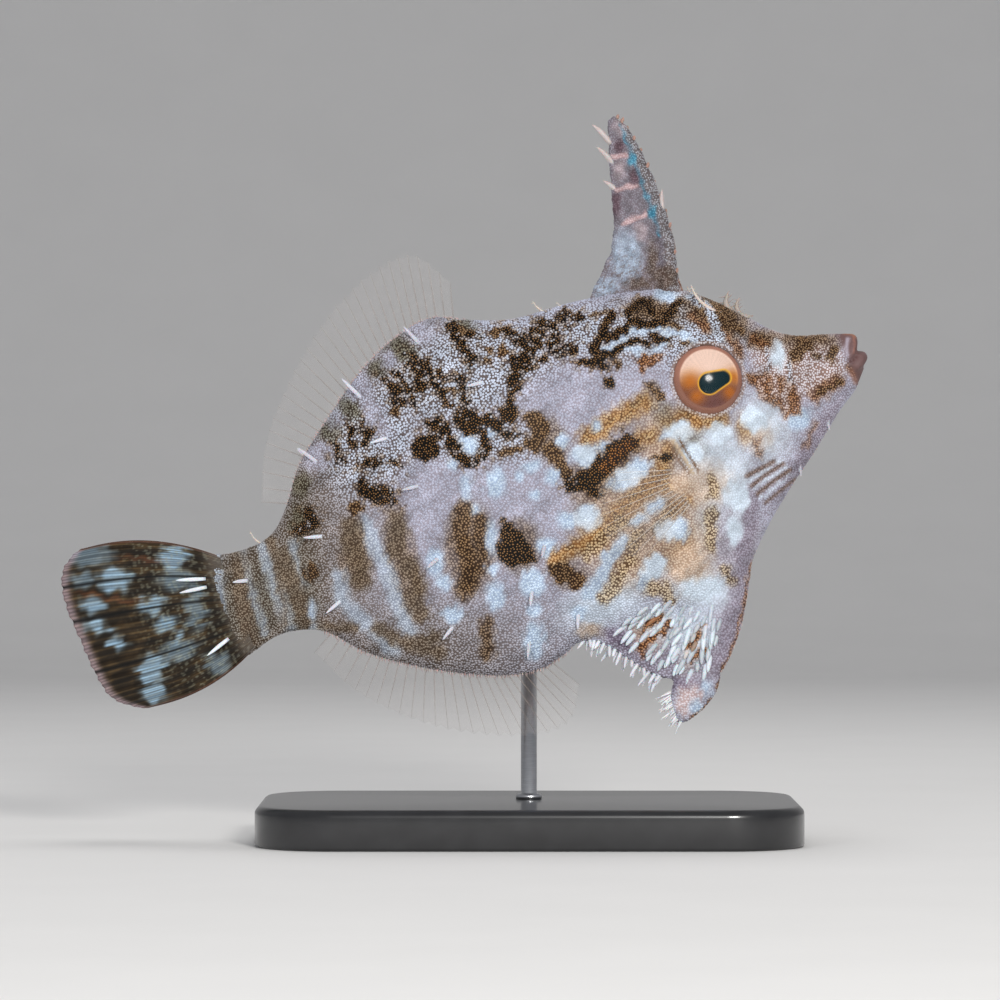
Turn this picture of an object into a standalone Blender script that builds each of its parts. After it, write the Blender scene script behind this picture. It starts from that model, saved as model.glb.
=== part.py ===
# A filefish of the kind that eats glass anemones, life size, on a plain display stand.
# The fish is drawn level, in millimetres, in its own frame: s runs back from the tip of the
# lower lip, t runs up, y runs to its left. An empty then tips it head up, as it swims.
import math
import random

import bmesh
import bpy
from mathutils import Matrix, Vector

MM = 0.001

# Driving sizes of the whole piece
GAP = 0.3
FIN_ROOT_ROOM = 0.05
PITCH_DEG = 21.0
SNOUT_X = 40.3
SNOUT_Z = 48.4
BODY_END = 68.5

SHARP_DEG = 40.0

# Side outline of the body: distance behind the snout, height
BACK = [
    (0.0, 0.75), (0.45, 1.7), (0.9, 2.7), (1.7, 3.05), (3.0, 3.5), (6.0, 4.5), (8.0, 5.9),
    (11.0, 9.3), (15.0, 12.8), (20.0, 14.6), (26.0, 15.6), (32.0, 16.2), (36.0, 17.7),
    (39.5, 19.2), (44.0, 18.4), (48.0, 16.6), (53.0, 13.2), (57.0, 10.1), (59.5, 6.9),
    (62.0, 4.7), (65.5, 4.3), (68.5, 5.0),
]
BELLY = [
    (0.0, -0.35), (0.9, -1.25), (2.3, -2.7), (4.5, -4.1), (8.0, -6.8), (11.5, -9.3),
    (15.0, -12.0), (18.0, -15.0), (19.7, -18.0), (21.3, -20.6), (23.3, -22.9), (25.0, -24.3),
    (26.3, -24.4), (27.7, -23.9), (29.2, -23.4), (31.2, -22.3), (33.0, -19.9), (35.0, -17.4),
    (37.0, -16.4),
    (39.0, -17.0), (41.5, -17.5), (45.0, -16.9), (49.0, -15.2), (53.5, -12.6), (57.5, -9.6),
    (60.0, -6.7), (62.0, -5.5), (65.0, -5.0), (68.5, -5.8),
]
# Where the belly would run without the thin flap of skin under it
KEEL = [(17.0, -13.9), (20.0, -16.0), (25.0, -17.2), (31.0, -17.0), (37.0, -16.4)]

# Half width, and the height at which the body is widest
HALF_WIDTH = [
    (0.0, 0.6), (0.4, 1.2), (1.2, 1.75), (2.4, 1.85), (5.0, 2.2), (8.0, 2.9), (11.0, 3.8),
    (14.0, 4.7), (18.0, 5.4), (24.0, 5.9), (32.0, 6.0), (40.0, 5.5), (47.0, 4.5), (53.0, 3.3),
    (58.0, 2.3), (62.0, 1.75), (68.5, 1.3),
]
WIDEST = [
    (0.0, 0.2), (1.0, 0.55), (2.6, 0.35), (5.0, 0.0), (10.0, 0.4), (16.0, 1.2), (24.0, 0.0),
    (34.0, 0.4), (44.0, 1.0), (54.0, 1.2), (60.0, 0.2), (68.5, -0.4),
]
SECTION_ROUNDNESS = 0.6
# Half thickness of the keel along the back and belly, and of the flap, which thins downwards
KEEL_HALF = [
    (0.0, 0.45), (8.0, 0.6), (16.0, 0.85), (22.0, 1.1), (32.0, 1.1), (40.0, 0.8), (56.0, 0.6),
    (68.5, 0.7),
]
FLAP_THINNING = 0.45
FLAP_DEPTH = 7.0
# Low swellings: distance, height, reach along, reach up, rise
SWELLINGS = [(15.9, 3.5, 4.2, 4.2, 0.28), (22.6, -5.4, 2.4, 4.0, 0.3), (19.0, 9.5, 4.5, 2.6, 0.25)]

STATIONS = [
    0.0, 0.3, 0.7, 1.2, 1.8, 2.4, 3.3, 4.5, 6.0, 7.2, 8.4, 9.8, 11.2, 12.8, 14.4, 16.0,
    17.2, 18.2, 19.2, 20.2, 21.2, 22.3, 23.5, 24.7, 26.0, 27.4, 28.8, 30.2, 31.6, 33.0,
    34.4, 35.8, 37.2, 38.8, 40.6, 42.8, 45.2, 47.6, 50.0, 52.4, 54.6, 56.6, 58.2, 59.4,
    60.6, 62.0, 64.0, 66.2, 68.5,
]
# Points down each side from the back to the keel, and on to the edge
FLANK_POINTS, KEEL_POINTS = 13, 4
KEEL_ROOM = 1.5

# Thin cuts that part the body, from the back down or from the front back
LIP_CUT = 2.3
HEAD_CUT = [
    (25.3, 20.0), (24.8, 15.0), (23.0, 6.0), (21.7, -0.8), (20.9, -5.2), (20.0, -9.5),
    (18.9, -13.4), (18.6, -14.9),
]
FLAP_CUT = [(17.4, -15.0), (19.0, -15.4), (22.0, -16.3), (28.0, -17.1), (33.0, -17.4), (36.0, -18.2)]
MOUTH_CUT = [(-1.0, 2.2), (0.35, 1.35), (0.9, 0.7), (1.3, 0.05), (3.5, -0.3)]
STALK_CUT = 61.6
# How far the cut regions reach beyond the body
REGION_LOW, REGION_HIGH, REGION_FRONT, REGION_REAR, REGION_SIDE = -30.0, 24.0, -1.0, 69.5, 12.0

# Eye, how deep its middle lies under the skin, and the lid fold round it
EYE = (15.9, 3.5)
EYE_RADIUS = 3.3
EYE_HALF_DEPTH = 1.95
EYE_SINK = 0.65
LID_RADIUS = 3.5
LID_THICK = 0.34

# Nostrils and gill slit
NOSTRILS = [(9.9, 5.4), (10.8, 5.9)]
NOSTRIL_RADIUS = 0.3
NOSTRIL_DEPTH = 0.7
GILL = [(21.9, -0.2), (20.85, -5.4)]
GILL_HALF = 0.5
GILL_DEPTH = 1.2

# First dorsal spine: centre line, half depth fore and aft, half width
SPINE = [
    (15.95, 13.62, 1.1, 0.85), (15.5, 15.2, 0.95, 0.8), (14.75, 17.4, 0.85, 0.72),
    (14.35, 20.6, 0.82, 0.66), (14.3, 24.0, 0.78, 0.58), (14.4, 27.6, 0.66, 0.48),
    (14.7, 30.3, 0.42, 0.36), (15.15, 31.5, 0.14, 0.14),
]
SPINE_SIDES = 10

# Web of skin behind the spine, from its foot to its tip
WEB_FRONT = [
    (17.35, 14.2), (16.85, 16.0), (16.0, 18.2), (15.65, 20.4), (15.5, 22.8), (15.5, 25.2),
    (15.4, 27.4), (15.45, 29.9),
]
WEB_REAR = [
    (23.6, 15.8), (21.6, 17.6), (20.1, 19.0), (19.0, 21.0), (18.3, 23.4), (17.6, 25.6),
    (16.95, 27.8), (15.95, 30.4),
]
WEB_COLUMNS = 5
WEB_FRONT_HALF, WEB_REAR_HALF = 0.48, 0.26

# Soft dorsal fin and anal fin: rays lean forward in front and back behind
DORSAL = {
    "rays": 28, "start": 37.2, "end": 59.6,
    "lengths": [(0.0, 3.4), (0.14, 6.4), (0.4, 6.2), (0.75, 4.6), (1.0, 2.4)],
    "leans_deg": [(0.0, -16.0), (0.25, -4.0), (0.6, 24.0), (0.85, 48.0), (1.0, 66.0)],
}
ANAL = {
    "rays": 26, "start": 40.2, "end": 60.2,
    "lengths": [(0.0, 3.2), (0.16, 6.2), (0.4, 6.0), (0.75, 4.4), (1.0, 2.3)],
    "leans_deg": [(0.0, -30.0), (0.25, -12.0), (0.6, 22.0), (0.85, 46.0), (1.0, 62.0)],
}
FIN_HALF = 0.26
RAY_RISE = 0.14
FIN_ROWS = 4
FIN_WAVE = 0.8

# Tail fin: rays fork half way out
TAIL_RAYS = 12
TAIL_BASE = [(68.8, 4.75), (68.8, 2.0), (68.8, -1.0), (68.8, -3.6), (68.8, -5.6)]
TAIL_MARGIN = [
    (81.0, 10.45), (83.1, 8.6), (83.9, 5.6), (83.8, 1.6), (83.6, -1.9), (82.9, -4.9), (80.4, -7.25),
]
TAIL_TOP_BULGE, TAIL_LOW_BULGE = 1.5, -1.2
TAIL_ROOT_HALF = 0.95
TAIL_ROWS = 8
TAIL_SWING = 2.2

# Pectoral fins: a fleshy lobe on the flank, then rays that fan back
PECTORAL_RAYS = 11
PECTORAL_ROOT = [(22.5, -3.6), (22.0, -7.4)]
PECTORAL_TURN_DEG = [(0.0, 18.0), (0.5, -6.0), (1.0, -28.0)]
PECTORAL_LENGTH = [(0.0, 6.2), (0.25, 8.2), (0.5, 8.9), (0.8, 8.4), (1.0, 7.2)]
PECTORAL_LIFT_DEG = 9.0
PECTORAL_REACHES = [0.0, 0.1, 0.2, 0.34, 0.55, 0.78, 1.0]
LOBE_HALF = 0.62

# Tip of the pelvis, close under the flap
PELVIS_LOW = [
    (25.35, -24.95), (26.0, -25.8), (26.8, -26.5), (28.0, -27.1), (29.6, -27.6), (30.4, -27.7),
    (30.9, -27.2), (30.8, -26.0), (30.5, -24.7), (30.1, -23.95),
]
PELVIS_TOP = (29.2, 25.6)
PELVIS_FRONT_HALF, PELVIS_REAR_HALF = 0.85, 0.4
PELVIS_MIDDLE = (28.8, -25.9)

# Skin tassels, each as its root (s, t), its tip (s, t) and how far the tip stands off the skin
TASSELS = {
    "head": [
        (13.6, 10.4, 13.9, 13.2, 0.5), (13.4, 8.0, 14.2, 11.4, 0.4), (5.9, -3.7, 6.2, -5.5, 0.5),
        (10.0, -6.7, 10.5, -8.8, 0.5),
    ],
    "trunk": [
        (57.0, 2.6, 59.0, 3.2, 0.8), (57.6, -3.9, 59.6, -4.6, 0.8),
        (47.0, -3.4, 48.6, -4.0, 0.9), (48.1, -10.3, 49.7, -11.2, 0.8),
        (39.6, -9.7, 40.4, -11.2, 0.9), (36.1, -13.4, 36.8, -15.0, 0.7),
        (36.8, -5.9, 37.6, -7.1, 0.9), (36.6, 11.2, 38.5, 11.4, 0.9),
        (47.4, 9.5, 49.4, 9.6, 0.8), (46.3, 3.9, 48.1, 4.1, 0.9),
        (41.2, 16.8, 42.2, 19.3, 1.3), (48.6, 14.0, 49.8, 16.6, 1.3), (55.0, 9.6, 56.4, 11.8, 1.2),
    ],
    "stalk": [(65.6, 1.2, 67.2, 1.6, 0.7)],
    "tail_fin": [
        (69.7, 2.9, 72.4, 3.8, 1.1), (69.9, 2.1, 72.5, 2.5, 1.1), (69.7, -3.5, 72.2, -4.3, 1.1),
    ],
}
# One on the right only, since the rod stands on the left
RIGHT_TASSELS = {"trunk": [(41.6, -14.2, 42.5, -16.0, 0.6)]}
# Tassels in the middle of the back
BACK_TASSELS = {
    "head": [(10.1, 7.4, 10.2, 10.6)],
    "trunk": [(27.8, 15.0, 29.1, 17.3), (25.8, 14.9, 27.0, 16.3)],
    "stalk": [(63.0, 3.9, 63.7, 5.8)],
}
TASSEL_RADIUS = 0.29
TASSEL_SHIFT = 0.3
# A hooked tassel on the spine, and those behind its web
SPINE_HOOK = [(14.1, 20.8), (13.0, 21.6), (13.1, 22.9)]
WEB_TASSELS = [(16.4, 29.0, 17.5, 31.4), (16.9, 27.0, 17.9, 29.2), (17.5, 24.2, 18.4, 25.9)]
WEB_BANDS = [(15.75, 27.5, 16.6, 27.9), (15.8, 24.4, 17.4, 24.7), (16.0, 21.2, 18.1, 21.6)]
BAND_RADIUS = 0.24
BARBS, BARB_RADIUS, BARB_REACH = 11, 0.2, 0.5

# Ridges of skin on the flap fan out from a point in front, and bristles fringe its rear edge
FAN_POINT = (19.0, -12.4)
FAN_TURN_DEG = (-14.0, -76.0)
FAN_REACH = (4.8, 13.6)
RIDGE_ROW, RIDGE_SPACING = 1.6, 1.25
RIDGE_LENGTH, RIDGE_RADIUS, RIDGE_RISE = 2.0, 0.34, 0.3
RIDGE_ROOM = 0.5
FRINGE_START, FRINGE_END, FRINGE_STEP = 30.7, 36.0, 0.56
FRINGE_LENGTH, FRINGE_RADIUS, FRINGE_SINK, FRINGE_TURN_DEG = 1.3, 0.27, 0.75, -40.0
PELVIS_SPINES, PELVIS_SPINE_LENGTH, PELVIS_SPINE_RADIUS = 7, 1.1, 0.22

# Fold of skin behind each gill slit
GILL_FOLD = (22.55, 0.4, 22.2, -3.0)
GILL_FOLD_RADIUS = 0.4

# Stand
BASE_LENGTH, BASE_WIDTH, BASE_HEIGHT = 54.0, 34.0, 4.0
BASE_CORNER, BASE_BEVEL = 8.0, 0.8
ROD_X, ROD_Y, ROD_RADIUS, ROD_TOP = 6.5, 2.15, 0.8, 26.0

SKIN = ("skin", (0.62, 0.56, 0.54, 1.0), 0.55)
FIN_SKIN = ("fin_skin", (0.42, 0.36, 0.30, 1.0), 0.5)
PALE_SKIN = ("pale_skin", (0.82, 0.82, 0.84, 1.0), 0.5)
LIP_SKIN = ("lip_skin", (0.66, 0.50, 0.48, 1.0), 0.45)
EYE_GLOSS = ("eye", (0.70, 0.33, 0.14, 1.0), 0.12)
BASE_PAINT = ("base_paint", (0.05, 0.05, 0.055, 1.0), 0.35)
ROD_STEEL = ("rod_steel", (0.62, 0.63, 0.65, 1.0), 0.25)


def curve_at(points, at):
    # Smooth curve through (position, value) pairs, read at one position
    last = len(points) - 1
    if at <= points[0][0]:
        return points[0][1]
    if at >= points[last][0]:
        return points[last][1]
    k = max(i for i in range(last) if points[i][0] <= at)

    def slope(i):
        a, b = points[max(i - 1, 0)], points[min(i + 1, last)]
        return (b[1] - a[1]) / (b[0] - a[0])

    (x0, y0), (x1, y1) = points[k], points[k + 1]
    step = x1 - x0
    u = (at - x0) / step
    return (
        (2 * u**3 - 3 * u**2 + 1) * y0
        + (u**3 - 2 * u**2 + u) * step * slope(k)
        + (3 * u**2 - 2 * u**3) * y1
        + (u**3 - u**2) * step * slope(k + 1)
    )


def path_at(points, share):
    # Point at a share of the way along a list of (s, t) points, counted by index
    last = len(points) - 1
    spread = [[(i / last, p[axis]) for i, p in enumerate(points)] for axis in range(len(points[0]))]
    return tuple(curve_at(values, share) for values in spread)


def keel_at(s):
    if KEEL[0][0] < s < KEEL[-1][0]:
        return max(curve_at(KEEL, s), curve_at(BELLY, s))
    return curve_at(BELLY, s)


def half_width_at(s, t):
    # The thick body, the keels and the thin flap below, run together
    top, bottom, widest = curve_at(BACK, s), keel_at(s), curve_at(WIDEST, s)
    reach = top - widest if t > widest else widest - bottom
    u = min(abs(t - widest) / reach, 1.0)
    thick = curve_at(HALF_WIDTH, s) * (1 - u * u) ** SECTION_ROUNDNESS
    edge = curve_at(BELLY, s)
    v = min(abs(2 * t - top - edge) / (top - edge), 1.0)
    hang = min(max((bottom - t) / FLAP_DEPTH, 0.0), 1.0)
    thin = curve_at(KEEL_HALF, s) * (1 - FLAP_THINNING * hang) * (1 - v**8) ** 0.5
    rise = sum(
        height * math.exp(-(((s - at_s) / along) ** 2) - ((t - at_t) / up) ** 2)
        for at_s, at_t, along, up, height in SWELLINGS
    )
    return (thick**3 + thin**3) ** (1 / 3) + rise * (1 - u * u)


def outward(s, t, side):
    # Direction straight out of the flank at one point
    step = 0.2
    along = (half_width_at(s + step, t) - half_width_at(s - step, t)) / (2 * step)
    up = (half_width_at(s, t + step) - half_width_at(s, t - step)) / (2 * step)
    return Vector((along, side, -up)).normalized()


def place(s, t, y=0.0):
    return Vector((-s * MM, y * MM, t * MM))


def material_of(finish):
    name, colour, roughness = finish
    found = bpy.data.materials.get(name)
    if found:
        return found
    made = bpy.data.materials.new(name)
    made.use_nodes = True
    shader = made.node_tree.nodes["Principled BSDF"]
    shader.inputs["Base Color"].default_value = colour
    shader.inputs["Roughness"].default_value = roughness
    shader.inputs["Metallic"].default_value = 1.0 if name == "rod_steel" else 0.0
    made.diffuse_color = colour
    return made


def add_object(name, points, faces, finish=SKIN):
    mesh = bpy.data.meshes.new(name)
    mesh.from_pydata(points, [], faces)
    bm = bmesh.new()
    bm.from_mesh(mesh)
    bmesh.ops.recalc_face_normals(bm, faces=bm.faces)
    bm.to_mesh(mesh)
    bm.free()
    mesh.materials.append(material_of(finish))
    made = bpy.data.objects.new(name, mesh)
    bpy.context.scene.collection.objects.link(made)
    return made


def bake(made):
    # The object's modifiers become its mesh
    bpy.context.view_layer.update()
    graph = bpy.context.evaluated_depsgraph_get()
    mesh = bpy.data.meshes.new_from_object(made.evaluated_get(graph))
    made.modifiers.clear()
    made.data = mesh


def combine(made, tool, operation):
    step = made.modifiers.new(operation.lower(), "BOOLEAN")
    step.operation = operation
    step.object = tool
    step.solver = "EXACT"
    bake(made)
    bpy.data.objects.remove(tool)


def fuse(made, pieces):
    # One union of a node with the small pieces that grow from it
    group = bpy.data.collections.new(made.name + "_pieces")
    bpy.context.scene.collection.children.link(group)
    for piece in pieces:
        bpy.context.scene.collection.objects.unlink(piece)
        group.objects.link(piece)
    step = made.modifiers.new("union", "BOOLEAN")
    step.operation = "UNION"
    step.operand_type = "COLLECTION"
    step.collection = group
    step.solver = "EXACT"
    bake(made)
    for piece in pieces:
        bpy.data.objects.remove(piece)
    bpy.data.collections.remove(group)
    keep_largest(made)


def keep_largest(made):
    # Keeps only the largest closed surface of a node
    bm = bmesh.new()
    bm.from_mesh(made.data)
    left = set(bm.verts)
    shells = []
    while left:
        stack = [left.pop()]
        shell = set(stack)
        while stack:
            for edge in stack.pop().link_edges:
                for vert in edge.verts:
                    if vert in left:
                        left.remove(vert)
                        shell.add(vert)
                        stack.append(vert)
        shells.append(shell)
    largest = max(shells, key=len)
    bmesh.ops.delete(bm, geom=[v for v in bm.verts if v not in largest], context="VERTS")
    bm.to_mesh(made.data)
    bm.free()


def shade(made):
    # Smooth faces that meet at sharp edges only where the surface really turns
    bm = bmesh.new()
    bm.from_mesh(made.data)
    for face in bm.faces:
        face.smooth = True
    for edge in bm.edges:
        edge.smooth = edge.calc_face_angle(math.pi) < math.radians(SHARP_DEG)
    bm.to_mesh(made.data)
    bm.free()


def prism(name, outline, y_low, y_high, finish=SKIN):
    # A side outline given thickness across the fish
    count = len(outline)
    points = [place(s, t, y_low) for s, t in outline] + [place(s, t, y_high) for s, t in outline]
    faces = [tuple(range(count)), tuple(range(2 * count - 1, count - 1, -1))]
    faces += [(i, (i + 1) % count, count + (i + 1) % count, count + i) for i in range(count)]
    return add_object(name, points, faces, finish)


def sheet(name, middles, halves, finish):
    # A thin plate from rows of middle points, with both faces split into the same triangles
    rows, columns = len(middles), len(middles[0])
    points = []
    for side in (-1, 1):
        for row, thick in zip(middles, halves):
            points += [place(s, t, y + side * half) for (s, t, y), half in zip(row, thick)]

    def at(side, i, j):
        return (side * rows + i) * columns + j

    faces = []
    for i in range(rows - 1):
        for j in range(columns - 1):
            for side in (0, 1):
                a, b = at(side, i, j), at(side, i, j + 1)
                c, d = at(side, i + 1, j + 1), at(side, i + 1, j)
                faces += [(a, b, c), (a, c, d)]
    rim = [(0, j) for j in range(columns)] + [(i, columns - 1) for i in range(1, rows)]
    rim += [(rows - 1, j) for j in range(columns - 2, -1, -1)]
    rim += [(i, 0) for i in range(rows - 2, 0, -1)]
    for (i, j), (k, m) in zip(rim, rim[1:] + rim[:1]):
        a, b, c, d = at(0, i, j), at(0, k, m), at(1, k, m), at(1, i, j)
        faces += [(a, b, c), (a, c, d)]
    return add_object(name, points, faces, finish)


def spike(root, tip, radius, bend=None, sides=4, finish=PALE_SKIN):
    # A tapered point from a root, sunk in what it grows from, past an optional bend to its tip
    along = (tip - root).normalized()
    across = along.cross(Vector((0.3, 1.0, 0.2))).normalized()
    other = along.cross(across)
    middle = bend if bend else root.lerp(tip, 0.5)
    ring = []
    for centre, share in ((root, 0.85), (middle, 1.0)):
        for k in range(sides):
            turn = 2 * math.pi * k / sides
            spoke = math.cos(turn) * across + math.sin(turn) * other
            ring.append(centre + radius * MM * share * spoke)
    ring.append(tip)
    faces = [tuple(range(sides - 1, -1, -1))]
    for k in range(sides):
        after = (k + 1) % sides
        faces.append((k, after, sides + after, sides + k))
        faces.append((sides + k, sides + after, 2 * sides))
    return add_object("spike", ring, faces, finish)


def heights_at(s):
    # Heights down one side, closest together at the back, the keel and the edge
    top, edge = curve_at(BACK, s), curve_at(BELLY, s)
    split = max(keel_at(s), edge + min(KEEL_ROOM, 0.3 * (top - edge)))
    flank = [
        (top + split) / 2 + (top - split) / 2 * math.cos(math.pi * j / FLANK_POINTS)
        for j in range(FLANK_POINTS)
    ]
    keel = [
        edge + (split - edge) * (1 - math.sin(math.pi / 2 * k / KEEL_POINTS))
        for k in range(KEEL_POINTS)
    ]
    return flank + keel + [edge]


def make_whole_body():
    points, faces = [], []
    for s in STATIONS:
        heights = heights_at(s)
        inner = heights[1:-1]
        points.append(place(s, heights[0]))
        points += [place(s, t, -half_width_at(s, t)) for t in inner]
        points.append(place(s, heights[-1]))
        points += [place(s, t, half_width_at(s, t)) for t in reversed(inner)]
    count = 2 * (FLANK_POINTS + KEEL_POINTS)
    for i in range(len(STATIONS) - 1):
        for j in range(count):
            k = (j + 1) % count
            faces.append((i * count + j, i * count + k, (i + 1) * count + k, (i + 1) * count + j))
    for end, s in ((0, STATIONS[0]), (len(STATIONS) - 1, STATIONS[-1])):
        points.append(place(s, (curve_at(BACK, s) + curve_at(BELLY, s)) / 2))
        for j in range(count):
            faces.append((end * count + j, end * count + (j + 1) % count, len(points) - 1))
    return add_object("whole_body", points, faces)


def take(body, name, outline, finish=SKIN):
    # The part of the body inside a side outline becomes a node of its own
    made = add_object(name, [v.co.copy() for v in body.data.vertices],
                      [tuple(p.vertices) for p in body.data.polygons], finish)
    combine(made, prism("region", outline, -REGION_SIDE, REGION_SIDE), "INTERSECT")
    made.data.materials.clear()
    made.data.materials.append(material_of(finish))
    keep_largest(made)
    return made


def shifted(line, along, up):
    return [(s + along, t + up) for s, t in line]


def part_the_body(body):
    half = GAP / 2
    lip_end, head_start = LIP_CUT - half, LIP_CUT + half
    mouth_up = [p for p in shifted(MOUTH_CUT, half, half) if p[0] < lip_end]
    mouth_down = [p for p in shifted(MOUTH_CUT, -half, -half) if p[0] < lip_end]
    low, high, front, rear = REGION_LOW, REGION_HIGH, REGION_FRONT, REGION_REAR
    head_line, trunk_line = shifted(HEAD_CUT, -half, 0), shifted(HEAD_CUT, half, 0)
    throat = (HEAD_CUT[-1][0] - 1.3, HEAD_CUT[-1][1] + half)
    regions = {
        "upper_lip": mouth_up + [(lip_end, 0.1), (lip_end, high), (front, high)],
        "lower_lip": mouth_down + [(lip_end, -0.3), (lip_end, low), (front, low)],
        "head": head_line + [throat, (15.0, -18.0), (head_start, -18.0), (head_start, 20.0)],
        "trunk": trunk_line[:-1] + shifted(FLAP_CUT, 0, half)[1:]
        + [(37.0, low), (STALK_CUT - half, low), (STALK_CUT - half, high), (25.5, high)],
        "flap": shifted(FLAP_CUT, 0, -half)
        + [(37.0, -20.0), (37.0, low), (12.0, low), (12.0, -16.5)],
        "stalk": [(STALK_CUT + half, high), (STALK_CUT + half, low), (rear, low), (rear, high)],
    }
    nodes = {
        name: take(body, name, outline, LIP_SKIN if "lip" in name else SKIN)
        for name, outline in regions.items()
    }
    bpy.data.objects.remove(body)
    return nodes


def ellipsoid(name, centre, out, radius, half_depth, finish, segments=20, rings=10):
    # A flattened ball whose short axis points out of the flank
    up = (Vector((0, 0, 1)) - out * out.z).normalized()
    along = up.cross(out)
    turn = Matrix((along, out, up)).transposed().to_4x4()
    size = Matrix.Diagonal((radius * MM, half_depth * MM, radius * MM, 1.0))
    mesh = bpy.data.meshes.new(name)
    bm = bmesh.new()
    bmesh.ops.create_uvsphere(bm, u_segments=segments, v_segments=rings, radius=1.0)
    poles = Matrix.Rotation(math.radians(90), 4, "X")
    bmesh.ops.transform(bm, matrix=Matrix.Translation(centre) @ turn @ size @ poles, verts=bm.verts)
    bmesh.ops.recalc_face_normals(bm, faces=bm.faces)
    bm.to_mesh(mesh)
    bm.free()
    mesh.materials.append(material_of(finish))
    made = bpy.data.objects.new(name, mesh)
    bpy.context.scene.collection.objects.link(made)
    return made


def lid_fold(side, steps=24, sides=6):
    # A ring of skin that follows the flank round the eye
    points, faces = [], []
    out = outward(*EYE, side)
    for i in range(steps):
        turn = 2 * math.pi * i / steps
        s, t = EYE[0] + LID_RADIUS * math.cos(turn), EYE[1] + LID_RADIUS * math.sin(turn)
        middle = place(s, t, side * half_width_at(s, t))
        away = Vector((-math.cos(turn), 0, math.sin(turn)))
        for j in range(sides):
            bend = 2 * math.pi * j / sides
            points.append(middle + (away * math.cos(bend) + out * math.sin(bend)) * LID_THICK * MM)
    for i in range(steps):
        for j in range(sides):
            k, m = (i + 1) % steps, (j + 1) % sides
            faces.append((i * sides + j, k * sides + j, k * sides + m, i * sides + m))
    return add_object("lid", points, faces)


def make_eyes(head):
    for name, side in (("eye_right", -1), ("eye_left", 1)):
        out = outward(*EYE, side)
        centre = place(*EYE, side * half_width_at(*EYE)) - out * EYE_SINK * MM
        combine(head, lid_fold(side), "UNION")
        socket = ellipsoid("socket", centre, out, EYE_RADIUS + GAP, EYE_HALF_DEPTH + GAP, SKIN)
        combine(head, socket, "DIFFERENCE")
        ellipsoid(name, centre, out, EYE_RADIUS, EYE_HALF_DEPTH, EYE_GLOSS)


def cut_nostrils(head):
    for s, t in NOSTRILS:
        for side in (-1, 1):
            outside = half_width_at(s, t) + 0.5
            inside = half_width_at(s, t) - NOSTRIL_DEPTH
            turns = [k * math.pi / 4 for k in range(8)]
            outline = [
                (s + NOSTRIL_RADIUS * math.cos(turn), t + NOSTRIL_RADIUS * math.sin(turn))
                for turn in turns
            ]
            low, high = sorted((side * inside, side * outside))
            combine(head, prism("pit", outline, low, high), "DIFFERENCE")


def cut_gill_slits(head, trunk):
    # A lens shaped opening on the line where the head meets the trunk
    (s0, t0), (s1, t1) = GILL
    middle = ((s0 + s1) / 2, (t0 + t1) / 2)
    outline = [
        (s0, t0), (middle[0] + GILL_HALF, middle[1]), (s1, t1), (middle[0] - GILL_HALF, middle[1]),
    ]
    for side in (-1, 1):
        reach = half_width_at(*middle)
        low, high = sorted((side * (reach - GILL_DEPTH), side * (reach + 1.0)))
        for node in (head, trunk):
            combine(node, prism("slit", outline, low, high), "DIFFERENCE")


def make_spine():
    points, faces = [], []
    for s, t, deep, wide in SPINE:
        for k in range(SPINE_SIDES):
            turn = 2 * math.pi * k / SPINE_SIDES
            points.append(place(s + deep * math.cos(turn), t, wide * math.sin(turn)))
    for i in range(len(SPINE) - 1):
        low, high = i * SPINE_SIDES, (i + 1) * SPINE_SIDES
        for k in range(SPINE_SIDES):
            m = (k + 1) % SPINE_SIDES
            faces.append((low + k, low + m, high + m, high + k))
    last = (len(SPINE) - 1) * SPINE_SIDES
    faces.append(tuple(range(SPINE_SIDES)))
    faces.append(tuple(range(last + SPINE_SIDES - 1, last - 1, -1)))
    return add_object("dorsal_spine", points, faces, FIN_SKIN)


def make_web():
    middles, halves = [], []
    for i, (front, rear) in enumerate(zip(WEB_FRONT, WEB_REAR)):
        row, thick = [], []
        for j in range(WEB_COLUMNS):
            share = j / (WEB_COLUMNS - 1)
            s = front[0] + (rear[0] - front[0]) * share
            t = front[1] + (rear[1] - front[1]) * share
            if i == 0:
                t = curve_at(BACK, s) + GAP + FIN_ROOT_ROOM
            row.append((s, t, 0.0))
            thick.append(WEB_FRONT_HALF + (WEB_REAR_HALF - WEB_FRONT_HALF) * share)
        middles.append(row)
        halves.append(thick)
    return sheet("spine_web", middles, halves, FIN_SKIN)


def make_long_fin(name, edge, up, fin):
    # Rays stand along the back or belly, and each is a ridge on the skin between them
    columns = 2 * fin["rays"]
    middles, halves = [], []
    for row in range(FIN_ROWS + 1):
        reach = row / FIN_ROWS
        line, thick = [], []
        for i in range(columns + 1):
            share = i / columns
            s = fin["start"] + (fin["end"] - fin["start"]) * share
            lean = math.radians(curve_at(fin["leans_deg"], share))
            crest = i % 2
            length = curve_at(fin["lengths"], share) * (1.0 + 0.05 * crest)
            root = curve_at(edge, s) + up * (GAP + FIN_ROOT_ROOM)
            wave = -FIN_WAVE * math.sin(share * 2.2 * math.pi) * reach**1.5
            out = length * reach
            line.append((s + out * math.sin(lean), root + up * out * math.cos(lean), wave))
            thick.append(FIN_HALF + RAY_RISE * crest * (1.0 - 0.5 * reach))
        middles.append(line)
        halves.append(thick)
    return sheet(name, middles, halves, FIN_SKIN)


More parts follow.
